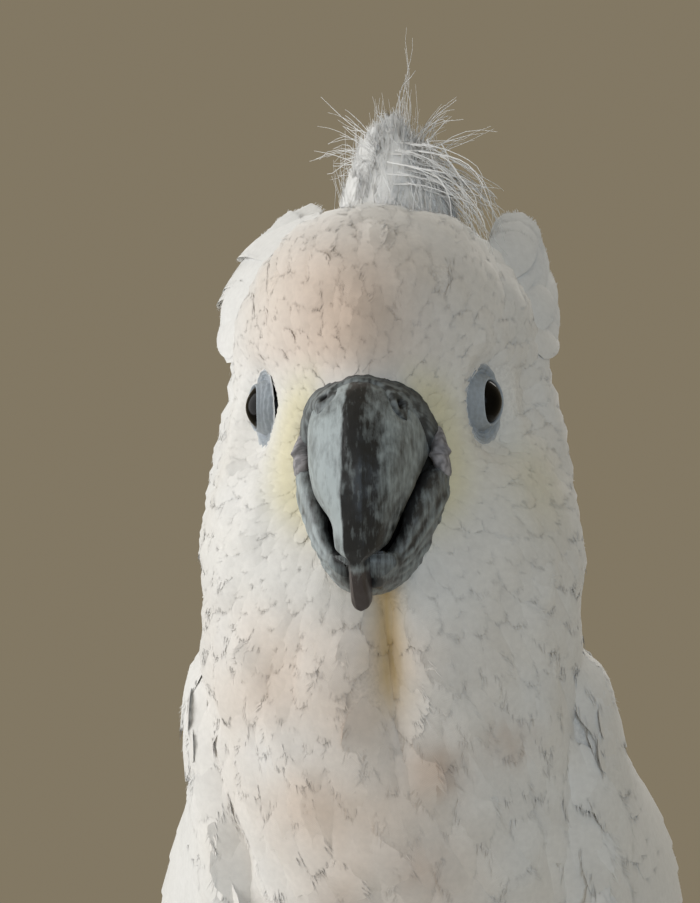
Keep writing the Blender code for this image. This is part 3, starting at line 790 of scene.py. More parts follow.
def make_lids(side, word, surface, material):
    """Bare skin round an eye: lids that wrap the eyeball, a raised rim, then folds out to the feathers."""
    way, up, ahead = eye_frame(side)
    centre = EYES[0 if side > 0 else 1]
    rings, sides = 44, 120
    turns = circle(sides)
    points, tints = [], []
    for i in range(rings):
        share = i / (rings - 1)
        radius = OPENING + (bare_reach(turns) + HANDOVER - OPENING) * share**1.15
        almond = 1 + 0.07 * np.sin(turns) ** 2 * (1 - share) - 0.05 * np.cos(turns) ** 2 * (1 - share)
        reach = radius * almond
        flat = np.outer(np.cos(turns) * reach, ahead) + np.outer(np.sin(turns) * reach, up)
        over = (EYE_RADIUS + LID_THICKNESS) ** 2 - np.minimum(reach, EYE_RADIUS) ** 2
        on_ball = np.sqrt(np.maximum(0.0, over))
        starts = centre + flat + way * FAR_OUT
        hits = [surface.ray_cast(Vector(start), Vector(-way), 30) for start in starts]
        on_skin = np.array([FAR_OUT - hit[3] if hit[0] else 2.0 for hit in hits])
        on_skin = on_skin + 0.32 - 0.8 * ease(0.72, 1.0, share)
        join = ease(0.10, 0.5, share)
        depth = np.maximum(on_ball * (1 - join) + on_skin * join, on_ball - 0.1)
        rim = 0.34 * bell(share - 0.075, 0.06)
        folds = 0.10 * np.sin(share * 34 + 1.4 * np.sin(turns * 2 + 0.6)) * ease(0.12, 0.3, share)
        folds += 0.07 * np.sin(turns * 17 + share * 9) * ease(0.1, 0.4, share) * (1 - ease(0.8, 1, share))
        points.append(centre + flat + np.outer(depth + rim + folds, way))
        pale = 0.55 * bell(share - 0.06, 0.07)
        bare = linear(0.70, 0.735, 0.77) * (0.82 + 0.4 * pale)
        tints.append(np.repeat((bare + (WHITE - bare) * 0.5 * ease(0.6, 0.95, share))[None], sides, 0))
    grid = np.array([centre + (points[0] - centre) * 0.93] + points)
    # painted shade: the ring tucked in against the eyeball is darkened to a quarter
    tint = np.concatenate([tints[0] * 0.25] + tints)
    make_shape(f"eye_skin_{word}", grid.reshape(-1, 3), ring_faces(grid, False), tint, material)


# ---------------- the lie of the coat

SPINE_KNOTS = np.array([(0, y, z) for y, z in SPINE], float)
LENGTH_BY_FACE = ([12, 17, 24, 40, 70, 110], [3.6, 6.0, 9.0, 12.5, 19.0, 25.0])  # from the bill, feather
PATCH = 0.003  # size of a feather's patch on the coat's unwrap
SPACING = 0.235  # of the feathers' roots, as a share of their length


def spine_place(points):
    """Where along the spine each point lies, 0 to 1, and the way to the tail there."""
    best = np.full(len(points), np.inf)
    place = np.zeros(len(points))
    for k in range(len(SPINE_KNOTS) - 1):
        start, way = SPINE_KNOTS[k], SPINE_KNOTS[k + 1] - SPINE_KNOTS[k]
        share = np.clip((points - start) @ way / (way @ way), 0, 1)
        gap = length_of(points - start - share[:, None] * way)
        place = np.where(gap < best, k + share, place)
        best = np.minimum(gap, best)
    knots = np.arange(len(SPINE_KNOTS))
    ways = unit(np.gradient(SPINE_KNOTS, axis=0))
    tailwards = np.stack([np.interp(place, knots, ways[:, axis]) for axis in range(3)], 1)
    return place / knots[-1], unit(tailwards)


def unwrap(points):
    """The place of points on the coat's unwrap: the turn about the spine, and the place along it."""
    share, tailwards = spine_place(points)
    knots = np.arange(len(SPINE_KNOTS))
    centre = np.stack([np.interp(share * knots[-1], knots, SPINE_KNOTS[:, axis]) for axis in range(3)], 1)
    out = points - centre
    back = np.cross(tailwards, np.array([1.0, 0.0, 0.0]))
    turn = np.arctan2(out[:, 0], -(out * back).sum(1)) / (2 * math.pi) + 0.5
    return np.stack([np.clip(turn, 0.003, 0.997), np.clip(share, 0.003, 0.997)], 1)


def on_leg(points):
    """How much a point belongs to the feathered part of a leg."""
    return ease(92, 68, points[:, 2]) * ease(46, 32, points[:, 1])


def lie(points, normals):
    """The way feathers lie: away from the bill on the face, towards the tail behind it, down the legs."""
    face = from_bill(points)
    near = (1 - ease(42, 80, face))[:, None]
    leg = on_leg(points)[:, None]
    way = unit(points - BILL_BASE) * near + spine_place(points)[1] * (1 - near)
    way = way * (1 - leg) + np.array([0.0, 0.25, -1.0]) * leg
    return unit(way - normals * dot(way, normals))


def feather_length(points):
    face = from_bill(points)
    length = np.interp(face, *LENGTH_BY_FACE)
    length = length * (1 - on_leg(points)) + 13.0 * on_leg(points)
    return length * (0.5 + 0.5 * ease(8, 19, eye_distance(points)))


def scatter(surface, seed):
    """Random places on a surface, none nearer to another than a share of the feathers' length there."""
    random = np.random.default_rng(seed)
    points = surface.points
    quads = np.array([f if len(f) == 4 else (*f, f[-1]) for f in surface.faces])
    triangles = np.concatenate([quads[:, [0, 1, 2]], quads[:, [0, 2, 3]]])
    a, b, c = (points[triangles[:, k]] for k in range(3))
    area = length_of(np.cross(b - a, c - a)) / 2
    expected = 3.2 * area / (SPACING * feather_length((a + b + c) / 3)) ** 2
    count = np.floor(expected + random.random(len(area))).astype(int)
    chosen = np.repeat(np.arange(len(area)), count)
    u, v = random.random((2, len(chosen)))
    folded = u + v > 1
    u, v = np.where(folded, 1 - u, u), np.where(folded, 1 - v, v)
    places = a[chosen] + (b - a)[chosen] * u[:, None] + (c - a)[chosen] * v[:, None]
    places = places[random.permutation(len(places))]
    room = SPACING * feather_length(places)
    tree = KDTree(len(places))
    for number, place in enumerate(places):
        tree.insert(place, number)
    tree.balance()
    free = np.ones(len(places), bool)
    for number, place in enumerate(places):
        if free[number]:
            near = [n for _, n, _ in tree.find_range(place, room[number])]
            free[near] = False
            free[number] = True
            room[near] = np.minimum(room[near], room[number])
    kept = np.zeros(len(places), bool)
    kept[free] = True
    return places[kept]


class Surface:
    """A skin that feathers grow from."""

    def __init__(self, points, faces, normals):
        self.points, self.faces, self.normals = points, faces, normals
        self.tree = BVHTree.FromPolygons(points.tolist(), faces)

    def nearest(self, places):
        """The nearest points of the skin and its smooth normals there."""
        found, ups = np.zeros_like(places), np.zeros_like(places)
        for number, place in enumerate(places):
            hit, _, face, _ = self.tree.find_nearest(Vector(place))
            corners = list(self.faces[face])
            gaps = length_of(self.points[corners] - np.array(hit))
            weight = 1 / (gaps + 0.02)
            found[number] = hit
            ups[number] = (self.normals[corners] * weight[:, None]).sum(0)
        return found, unit(ups)


def grow(surface, roots, ways, lengths, stations, follow, flow):
    """Lines that run over a skin from each root, and the skin's normals along them."""
    lines = np.zeros((len(roots), stations, 3))
    ups = np.zeros_like(lines)
    here, way = roots, ways
    for k in range(stations):
        lines[:, k], ups[:, k] = surface.nearest(here)
        way = unit(way * (1 - follow) + flow(lines[:, k], ups[:, k]) * follow)
        way = unit(way - ups[:, k] * dot(way, ups[:, k]))
        here = lines[:, k] + way * (lengths / (stations - 1))[:, None]
    return lines, ups


def turned(ways, ups, angles):
    """Directions turned about the normals."""
    side = np.cross(ups, ways)
    return ways * np.cos(angles)[:, None] + side * np.sin(angles)[:, None]


# ---------------- feathers

SOFT_TIP = (0.5, 3.2, 0.55)  # how a vane widens from its root, how late and how fast it rounds off
BLUNT_TIP = (0.35, 7.0, 0.5)


def outline(shares, shape):
    rise, late, fall = shape
    wide = shares**rise * np.maximum(0.0, 1 - shares**late) ** fall
    return np.maximum(wide / wide.max(), 0.07)


def vane_triangles(stations, columns):
    """Triangles of one closed blade: its upper columns, then the ones underneath."""
    round_count = 2 * columns
    triangles = []
    for i in range(stations - 1):
        for j in range(round_count):
            a, b = i * round_count + j, i * round_count + (j + 1) % round_count
            over, under = b + round_count, a + round_count
            if j < columns - 1:
                triangles += [(a, b, over), (a, over, under)]
            else:
                triangles += [(a, b, under), (b, over, under)]
    for first, turn in ((0, 1), ((stations - 1) * round_count, -1)):
        for j in range(1, round_count - 1):
            triangles.append((first, first + j + 1, first + j)[::turn])
    return np.array(triangles)


def blades(frames, wide, run, columns, camber, thick):
    """Closed blades: points, normals, and the place across and along each feather."""
    lines, across, ups, ahead = (part[:, :, None] for part in frames)
    upper = np.linspace(-1, 1, columns)
    spread = np.concatenate([upper, upper[::-1]])
    under = np.repeat([0.0, 1.0], columns)
    sideways = wide[..., None] * spread
    sink = camber * wide[..., None] * spread**2 + under * thick * (1 - 0.7 * spread**2)
    points = lines + across * sideways[..., None] - ups * sink[..., None]
    lean = 0.12 * np.broadcast_to(spread, sideways.shape)[..., None] * across
    tip = 0.10 * np.linspace(0, 1, wide.shape[1])[None, :, None, None] ** 4 * ahead
    normals = unit(ups * (1 - 2 * under[:, None]) + lean + tip)
    return points, normals, sideways, np.broadcast_to(run[..., None], sideways.shape)


def fringe(frames, wide, run, spikes, halves, barbs, random, camber, thick):
    """Separate barbs, thin closed spikes along the sides and tip of each blade, in the form of blades()."""
    count, stations = wide.shape
    at_tip = barbs // 3
    at_sides = barbs - at_tip
    share = np.concatenate([np.linspace(0.25, 0.97, at_sides), np.full(at_tip, 0.9)])
    place = np.concatenate([np.where(np.arange(at_sides) % 2, 0.82, -0.82), np.linspace(-0.9, 0.9, at_tip)])
    share = np.clip(share + random.uniform(-0.05, 0.05, (count, barbs)), 0.2, 0.985)
    place = place + random.uniform(-0.12, 0.12, (count, barbs))
    low = np.minimum((share * (stations - 1)).astype(int), stations - 2)
    part = (share * (stations - 1) - low)[..., None]
    rows = np.arange(count)[:, None]
    between = [f[rows, low] * (1 - part) + f[rows, low + 1] * part for f in (*frames, wide[..., None])]
    line, out, up, on, half = between
    half = half[..., 0]
    base = line + out * (place * half)[..., None] - up * (camber * half * place**2 + thick * 0.9)[..., None]
    angle = np.where(np.arange(barbs) < at_sides, np.sign(place) * (12 + 40 * (1 - share)), place * 30)
    angle = np.radians(angle + random.uniform(-9, 9, (count, barbs)))
    way = on * np.cos(angle)[..., None] + out * np.sin(angle)[..., None]
    way = unit(way + up * random.uniform(-0.03, 0.06, (count, barbs, 1)))
    reach = spikes[:, None] * random.uniform(0.3, 0.62, (count, barbs))
    girth = np.clip(halves * 0.03, 0.05, 0.14)[:, None, None] * unit(np.cross(up, way))
    points = np.stack([base - girth, base + girth, base - up * 0.03, base + way * reach[..., None]], 2)
    lean = up + 0.12 * place[..., None] * out + random.normal(0, 0.05, (count, barbs, 3))
    normals = np.broadcast_to(unit(lean)[:, :, None], points.shape)
    return points, normals, *(np.repeat(v[..., None], 4, 2) for v in (place * half, share * run[:, -1:]))


def feathers(lines, ups, halves, columns, barbs, random, shape=SOFT_TIP, camber=0.2, thick=0.16, spikes=1.0):
    """Closed blades along the lines, each with a fringe of barbs.

    Gives points, normals, the place across and along each feather in millimetres, and the triangles.
    shape is the outline, camber its hollow, spikes the barbs' reach as a share of the usual.
    """
    count, stations, _ = lines.shape
    ahead = unit(np.gradient(lines, axis=1))
    across = unit(np.cross(ahead, ups))
    frames = (lines, across, np.cross(across, ahead), ahead)
    wide = halves[:, None] * outline(np.linspace(0, 1, stations), shape)
    run = np.concatenate([np.zeros((count, 1)), length_of(np.diff(lines, axis=1)).cumsum(1)], 1)
    parts = [blades(frames, wide, run, columns, camber, thick)]
    triangles = [vane_triangles(stations, columns)]
    if barbs:
        parts.append(fringe(frames, wide, run, halves * spikes, halves, barbs, random, camber, thick))
        sides = np.array([(1, 0, 3), (0, 2, 3), (2, 1, 3), (0, 1, 2)]) + 4 * np.arange(barbs)[:, None, None]
        triangles.append(sides.reshape(-1, 3) + stations * 2 * columns)
    flat = [[value.reshape(count, -1, *value.shape[3:]) for value in part] for part in parts]
    return (*(np.concatenate(same, 1) for same in zip(*flat)), np.concatenate(triangles))


# the blush colour is a pink tint made darker, as painted shade for the brow
CREAM, BLUSH_AND_SHADE = linear(0.955, 0.915, 0.85), linear(0.90, 0.83, 0.77)
OCHRE, STRAW, BUFF = linear(0.80, 0.68, 0.45), linear(0.93, 0.90, 0.76), linear(0.80, 0.70, 0.62)

# Darker buff spots on the breast: across, height, size, strength.
BREAST_SPOTS = [(10, 186, 4.5, 0.8), (23, 190, 4, 0.5), (4, 168, 6, 0.6), (-12, 160, 5, 0.35)]


def plumage_tint(points):
    """White, with marks: blushed face and throat, painted shade on brow and mid forehead, ochre cleft, straw
    by the bill.
    """
    x, y, z = points.T
    front = ease(-38, -62, y)
    patchy = 0.75 + 0.35 * waves(points, 22, 81)
    marks = [(CREAM, 0.22 * front * patchy)]
    # painted shade: the brow's pink tint is deepened over the middle of the forehead
    brow = bell(x + 6, 17) * ease(252, 262, z) * ease(290, 272, z)
    marks.append((BLUSH_AND_SHADE, 0.95 * brow * front))
    # painted shade: buff over the middle of the forehead, above the cere
    marks.append((BUFF, 0.55 * bell(x + 1, 8) * bell(z - EYE_LEVEL - 17, 8) * front))
    throat = bell(x + 9, 20) * ease(222, 205, z) * ease(120, 175, z)
    marks.append((BLUSH_AND_SHADE, 0.9 * throat * front * patchy))
    for across, height, width, amount in BREAST_SPOTS:
        spot = bell(np.hypot(x - across, z - height) + 0.8 * waves(points, 5, 82), width)
        marks.append((BUFF, amount * spot * front))
    face = from_bill(points)
    beside = bell(face - 17, 5) * ease(5, 10, np.abs(x)) * ease(262, 250, z) * ease(222, 236, z)
    marks.append((STRAW, 0.9 * beside))
    marks.append((STRAW, 0.5 * bell(length_of(points - (30, -62, 236)), 9)))
    cleft_x = 3.5 + 0.03 * (206 - z)
    cleft = bell(x - cleft_x, 2.6) * ease(192, 204, z) * ease(226, 218, z) * front
    marks.append((OCHRE, 0.9 * cleft))
    tint = WHITE * np.ones((len(points), 1))
    for colour, amount in marks:
        tint = tint + (colour - tint) * np.clip(amount, 0, 1)[:, None]
    return tint


PIECE_LIMIT = 185000  # triangles in one piece of the coat


def add_coat(name, made, material, random, replaces=()):
    """Pieces of coat from feathers of one kind, with their unwrap, tint and the lines of their barbs."""
    points, normals, sideways, lengthwise, triangles = made
    count, corners = points.shape[:2]
    share = max(1, PIECE_LIMIT // len(triangles))
    for number, first in enumerate(range(0, count, share)):
        chosen = slice(first, min(count, first + share))
        these = points[chosen]
        many = len(these)
        flat = these.reshape(-1, 3)
        faces = (triangles[None] + corners * np.arange(many)[:, None, None]).reshape(-1, 3)
        mesh = triangle_mesh(f"{name}_{number + 1}", pose(flat), faces)
        across, length = sideways[chosen].ravel(), lengthwise[chosen].ravel()
        seeds = np.repeat(random.uniform(0, 50, many), corners)
        lines = np.stack([length - 0.9 * np.abs(across) + seeds, across], 1)
        home = np.repeat(unwrap(these[:, 0]), corners, 0)
        longest = np.repeat(np.maximum(np.ptp(lengthwise[chosen], 1), 1e-3), corners)
        share_of_it = np.stack([across, length], 1) / longest[:, None] - (0, 0.5)
        patch = home + PATCH * np.clip(share_of_it, -0.5, 0.5)
        for layer_name, values in (("OFBake", patch), ("Vane", lines)):
            layer = mesh.uv_layers.new(name=layer_name)
            layer.uv.foreach_set("vector", values[faces.ravel()].astype(np.float32).ravel())
        shade = np.repeat(random.uniform(0.97, 1.0, many), corners)[:, None]
        colour_points(mesh, plumage_tint(flat) * shade)
        store(mesh, "custom_normal", "FLOAT_VECTOR", pose_ways(flat, normals[chosen].reshape(-1, 3)))
        add_piece(f"{name}_{number + 1}", mesh, material, replaces)


# ---------------- the coat of the head and body

HEAD_REACH = 62.0  # the finer feathers of the head end at this distance from the bill
WING_MARGIN = 9.0  # how near to a folded wing breast and shoulder feathers run over its edge


def inside(mesh_points, faces, points, margin):
    """Which points lie inside a closed shape or within the margin of it."""
    tree = BVHTree.FromPolygons(mesh_points.tolist(), faces)
    corners = np.array([f[:3] for f in faces] + [(f[0], f[2], f[-1]) for f in faces if len(f) == 4])
    a, b, c = (mesh_points[corners[:, k]] for k in range(3))
    turn = np.sign((a * np.cross(b, c)).sum())
    found = np.zeros(len(points), bool)
    for number, point in enumerate(points):
        hit, normal, _, gap = tree.find_nearest(Vector(point))
        height = gap if (Vector(point) - hit).dot(normal) * turn > 0 else -gap
        found[number] = height < margin
    return found


def in_mouth(points):
    """How much a point lies in the space between the halves of the bill."""
    ahead, above = EYE_Y - points[:, 1], points[:, 2] - EYE_LEVEL
    half = np.interp(above, [-27, -20, -12, -4], [5.0, 9.0, 11.8, 12.4])
    within = ease(0.4, -0.4, np.abs(points[:, 0] - 0.7) - half) * ease(7.5, 8.5, ahead)
    return within * ease(-2.0, -4.0, above) * ease(-27.5, -25.5, above)


def bare_places(points):
    """Which points of the skin carry no feathers: in and under the bill and round the eyes."""
    bare = in_mouth(points) > 0.5
    near = from_bill(points) < 40
    upper = upper_bill_rings(-0.03, 1.0, 30, 40, CERE_SWELL, CERE_WIDEN)
    for rings in (upper, lower_bill_rings(20, 60)[:, :30]):
        bare[near] |= inside(rings.reshape(-1, 3), ring_faces(rings), points[near], -1.1)
    for side, eye in zip((1, -1), EYES):
        way, up, ahead = eye_frame(side)
        height, high, far = ((points - eye) @ axis for axis in (way, up, ahead))
        bare |= (np.hypot(high, far) < bare_reach(np.arctan2(high, far))) & (height > -2)
    return bare


def short_of_eye(points, ways, lengths):
    """Shortens the feathers that would run over an eye."""
    for eye in EYES:
        to_eye = eye - points
        gap = length_of(to_eye)
        heading = (to_eye * ways).sum(1) / gap
        short = np.minimum(lengths, np.maximum(gap - EYE_RADIUS, 1.6))
        lengths = np.where((heading > 0.3) & (gap < 16), short, lengths)
    return lengths


def steady_lines(surface, roots, ways, lengths, stations):
    """Grows lines, once more and shorter where they would bend sharply, and tells which ones lie well."""
    for _ in range(2):
        lines, ups = grow(surface, roots, ways, lengths, stations, 0.45, lie)
        ahead = unit(np.diff(lines, axis=1))
        bends = dot(ahead[:, 1:], ahead[:, :-1])[..., 0].min(1)
        rolls = dot(ups[:, 1:], ups[:, :-1])[..., 0].min(1)
        steady = (bends > 0.75) & (rolls > 0.5)
        lengths = np.where(steady, lengths, 0.5 * lengths)
    return lines, ups, steady


def grow_coat(surface, roots, random, stations, width, loose):
    """Lines, normals and half widths of feathers that cover a skin."""
    _, ups = surface.nearest(roots)
    ways = turned(lie(roots, ups), ups, random.normal(0, 0.13, len(roots)))
    lengths = feather_length(roots) * random.uniform(0.85, 1.18, len(roots))
    lengths = short_of_eye(roots, ways, lengths)
    lines, ups, steady = steady_lines(surface, roots, ways, lengths, stations)
    shares = np.linspace(0, 1, stations)
    depth = coat_depth(lines.reshape(-1, 3)).reshape(lines.shape[:2])
    ruffled = np.where(random.random(len(roots)) < loose, random.uniform(0.3, 1.3, len(roots)), 0.0)
    lift = 0.10 + depth * (0.42 * (1 - (1 - shares) ** 3) + 0.10 * shares) + ruffled[:, None] * shares**3
    tucked = 0.03 * lengths[:, None] * ease(0.68, 1.0, shares)
    lines = lines + ups * (lift - tucked + random.uniform(0, 0.06, (len(roots), 1)) * shares)[..., None]
    rolled = np.tan(random.normal(0, 0.03, len(roots)))[:, None, None]
    ahead = unit(np.gradient(lines, axis=1))
    ups = unit(ups + rolled * np.cross(ahead, ups))
    halves = lengths * width * random.uniform(0.88, 1.15, len(roots))
    return lines[steady], ups[steady], halves[steady]


def near_wing(points, margin):
    """Which places lie in a folded wing or within the margin of it."""
    found = np.zeros(len(points), bool)
    for word in ("left", "right"):
        found |= inside(*node_mesh(f"wing_{word}"), points, margin)
    return found


def skin_over_wings(surface):
    """The skin joined with the folded wings: breast and shoulder feathers run from one on to the other."""
    parts = [(surface.points, surface.faces)]
    for word in ("left", "right"):
        points, faces = node_mesh(f"wing_{word}")
        parts.append((points + point_normals(points, faces) * 1.3, faces))
    points, faces = remeshed(parts, 2.0)
    points = smooth_points(points, faces, 10, np.full(len(points), 0.5))
    return Surface(points, faces, point_normals(points, faces))


def make_shoulder_down(over, material):
    """Down that fills the groove between body and wings, and lies deep under the coat everywhere else."""
    depth = np.where(near_wing(over.points, WING_MARGIN), 0.7, 2.4)
    points = over.points - over.normals * depth[:, None]
    make_shape("shoulder_down", points, over.faces, plumage_tint(points), material, ["trunk"])


def make_coat(surface, over, material):
    """The feathers of the head and body, which also cover the front edges of the folded wings."""
    roots = scatter(surface, 21)
    roots = roots[~bare_places(roots)]
    roots = roots[~near_wing(roots, -1.5)]
    on_head = from_bill(roots) < HEAD_REACH
    edge = scatter(over, 23)
    edge = edge[near_wing(edge, WING_MARGIN)]
    rise = length_of(surface.nearest(edge)[0] - edge)
    apart, back = np.abs(edge[:, 0]), edge[:, 1]
    on_back = 6.0 * ease(0, 30, back) * (apart < 24)  # feathers may stand higher over the skin there
    between_wings = 14.0 * ease(40, 60, back) * ease(122, 108, back) * (apart < 8)
    edge = edge[rise < 5.5 + on_back + between_wings]
    random = np.random.default_rng(22)
    for name, ground, places, stations, width, loose, columns, barbs, camber, thick in (
        ("head", surface, roots[on_head], 6, 0.28, 0.01, 3, 44, 0.26, 0.05),
        ("body", surface, roots[~on_head], 7, 0.27, 0.05, 5, 72, 0.25, 0.07),
        ("shoulder", over, edge, 7, 0.27, 0.05, 5, 72, 0.25, 0.07),
    ):
        lines, ups, halves = grow_coat(ground, places, random, stations, width, loose)
        made = feathers(lines, ups, halves, columns, barbs, random, camber=camber, thick=thick)
        add_coat(f"coat_{name}", made, material, random)


# ---------------- crest and crown tuft

CREST_FEATHERS = [
    ((0, 24, 33), (0, 86, 8), 11.0, 5, 0),
    ((5, 22, 32), (12, 82, 13), 11.0, 5, 12),
    ((9, 20, 30), (19, 74, 19), 10.5, 5, 24),
    ((14, 18, 29), (25, 62, 30), 10.0, 9, 32),
    ((20, 18, 22), (31.5, 49, 19), 9.0, 9, 56),
]
CREST_SPREAD, CREST_DRIFT = 2.5, -0.06
TUFT_ROOT = np.array([3.4, -42.0, EYE_LEVEL + 37.5])
DOWN_COUNT, PLUME_COUNT, DROOPING_COUNT, STRANDS_EACH = 900, 90, 90, 9
# Tips of the wisps that stand out of the tuft, as across, ahead and above its root.
WISPS = [
    (3, 2, 31), (-2, 1, 18), (-13, 3, 19), (-15, 5, 13), (-14, 2, 6), (12, 1, 18),
    (18, 0, 13), (16, 3, 1), (13, -4, 22), (-7, -8, 15), (6, -10, 14), (-16, -2, 10),
]


# Feathers that stand up beside the crown: root and tip, as across, back and above, right side then left.
CREST_SIDES = {
    -1: [
        ((19, 21, 25), (16.5, 40, 38.6)), ((22, 20, 21), (20.5, 38, 37.2)),
        ((24.5, 19, 17), (24.6, 37, 33.8)), ((26.5, 18, 13), (28.2, 36, 29.2)),
        ((28, 17, 9), (31.2, 35, 24.8)),
    ],
    1: [
        ((21, 21, 22), (26.2, 36, 34.9)), ((22.5, 20, 19), (27, 36, 33.2)), ((24, 19, 16), (27.8, 36, 30.6)),
        ((26, 18, 12), (29.3, 36, 25.5)), ((27.5, 17, 8), (29.9, 35, 21.5)),
    ],
}


def arc(starts, middles, ends, steps):
    """Points on the curve from each start to each end that bends towards the middle."""
    share = np.linspace(0, 1, steps)[None, :, None]
    starts, middles, ends = starts[:, None], middles[:, None], ends[:, None]
    return starts * (1 - share) ** 2 + middles * 2 * share * (1 - share) + ends * share**2


def facing(lines, ways):
    """Normals along lines, as near to each line's own way as they can be."""
    ahead = unit(np.gradient(lines, axis=1))
    return unit(ways[:, None] - ahead * dot(ways[:, None], ahead))


def make_crest(material):
    """Broad soft feathers that sweep back from the crown, in layers, the middle ones on top."""
    random = np.random.default_rng(41)
    rows = np.array([[*root, *tip, *rest] for root, tip, *rest in CREST_FEATHERS], float)
    found = []
    for place in np.arange(0, len(rows) - 0.99, 0.25):
        row = along(rows, place)
        for side, layer in ((s, n) for s in ((1, -1) if place else (1,)) for n in (0, 1)):
            shorter = 1 - 0.16 * layer * random.uniform(0.6, 1.4)
            jitter = random.normal(0, 0.7, 3)
            root = row[:3] * (side, 1, 1)
            tip = root + (row[3:6] * (side, 1, 1) - root) * shorter + jitter
            root[0] += CREST_DRIFT * root[1]
            tip[0] += CREST_DRIFT * tip[1]
            parted = 0.85 * ease(2.0, 2.8, place) if side > 0 else 0.0  # the gap on the bird's left
            tip[2] -= 9.0 * parted * ease(4.2, 3.4, place)
            middle = (root + tip) / 2 + (side * CREST_SPREAD, 0, row[7] * (1 - parted))
            slope = side * math.radians(row[8])
            way = (math.sin(slope), 0.3, math.cos(slope))
            half = row[6] * random.uniform(0.72, 0.9)
            lift = 0.9 - 1.3 * layer + random.uniform(-0.4, 0.4)
            found.append([*(p + (0, EYE_Y, EYE_LEVEL) for p in (root, middle, tip)), way, half, lift])
    for side, number, layer in ((s, n, k) for s in CREST_SIDES for n in range(5) for k in range(3)):
        root, tip = (face_place(side * x, -back, above) for x, back, above in CREST_SIDES[side][number])
        tip += (root - tip) * 0.2 * layer + random.normal(0, 0.45 * layer, 3)
        start = root + random.normal(0, 0.5, 3)
        middle = (root + tip) / 2 + (side * 2.6, 1.0, 1.0)
        way = (side * (0.35 + 0.09 * number), -0.75, 0.45 - 0.05 * number)
        found.append([start, middle, tip, way, random.uniform(4.4, 5.6), 0.35 * layer])
    starts, middles, ends, ways, halves, lifts = (np.array(values) for values in zip(*found))
    lines = arc(starts, middles, ends, 14)
    ups = facing(lines, ways)
    lines = lines + ups * lifts[:, None, None]
    made = feathers(lines, ups, halves, 7, 200, random, (0.35, 3.4, 0.5), 0.16, 0.15, 0.5)
    add_coat("coat_crest", made, material, random, ["crest"])


def strands(starts, middles, ends, radius, steps, curl, random):
    """Thin three-sided threads on the tuft that taper and curl a little, in the form of feathers()."""
    count = len(starts)
    lines = arc(*(places + TUFT_ROOT for places in (starts, middles, ends)), steps)
    share = np.linspace(0, 1, steps)
    sway = random.uniform(0.5, 1.5, (count, 1, 3)) * 6.0 * share[None, :, None]
    sway = sway + random.uniform(0, 6.3, (count, 1, 3))
    lines = lines + curl * np.sin(sway) * (share**1.2)[None, :, None]
    ahead = unit(np.gradient(lines, axis=1))
    side = unit(np.cross(ahead, np.array([0.31, -0.87, 0.38])))
    up = np.cross(side, ahead)
    girth = (radius[:, None] * (1 - 0.75 * share))[..., None]
    turns = 2 * math.pi * np.arange(3) / 3
    out = np.stack([side * math.cos(t) + up * math.sin(t) for t in turns], 2)
    points = (lines[:, :, None] + out * girth[:, :, None]).reshape(count, -1, 3)
    run = np.broadcast_to((share * length_of(ends - starts)[:, None])[..., None], (count, steps, 3))
    ball = unit(lines - TUFT_ROOT + np.array([0, 0, 2.0])).repeat(3, 1)
    normals = unit(0.30 * out.reshape(count, -1, 3) + 0.5 * ball + np.array([-0.8, -0.4, 0.2]))
    triangles = []
    for i in range(steps - 1):
        for j in range(3):
            a, b = i * 3 + j, i * 3 + (j + 1) % 3
            triangles += [(a, b + 3, b), (a, a + 3, b + 3)]
    last = (steps - 1) * 3
    triangles += [(0, 1, 2), (last, last + 2, last + 1)]
    return points, normals, np.zeros(points.shape[:2]), run.reshape(count, -1), np.array(triangles)


def oval(random, count, least, wide, deep, low):
    """Random places in an oval on the rounded crown, with their turns and reaches from its middle."""
    turn = random.uniform(0, 2 * math.pi, count)
    reach = np.sqrt(random.uniform(least, 1.0, count))
    across = wide * reach * np.cos(turn)
    return turn, reach, np.stack([across, deep * reach * np.sin(turn), low - 0.035 * across**2], 1)


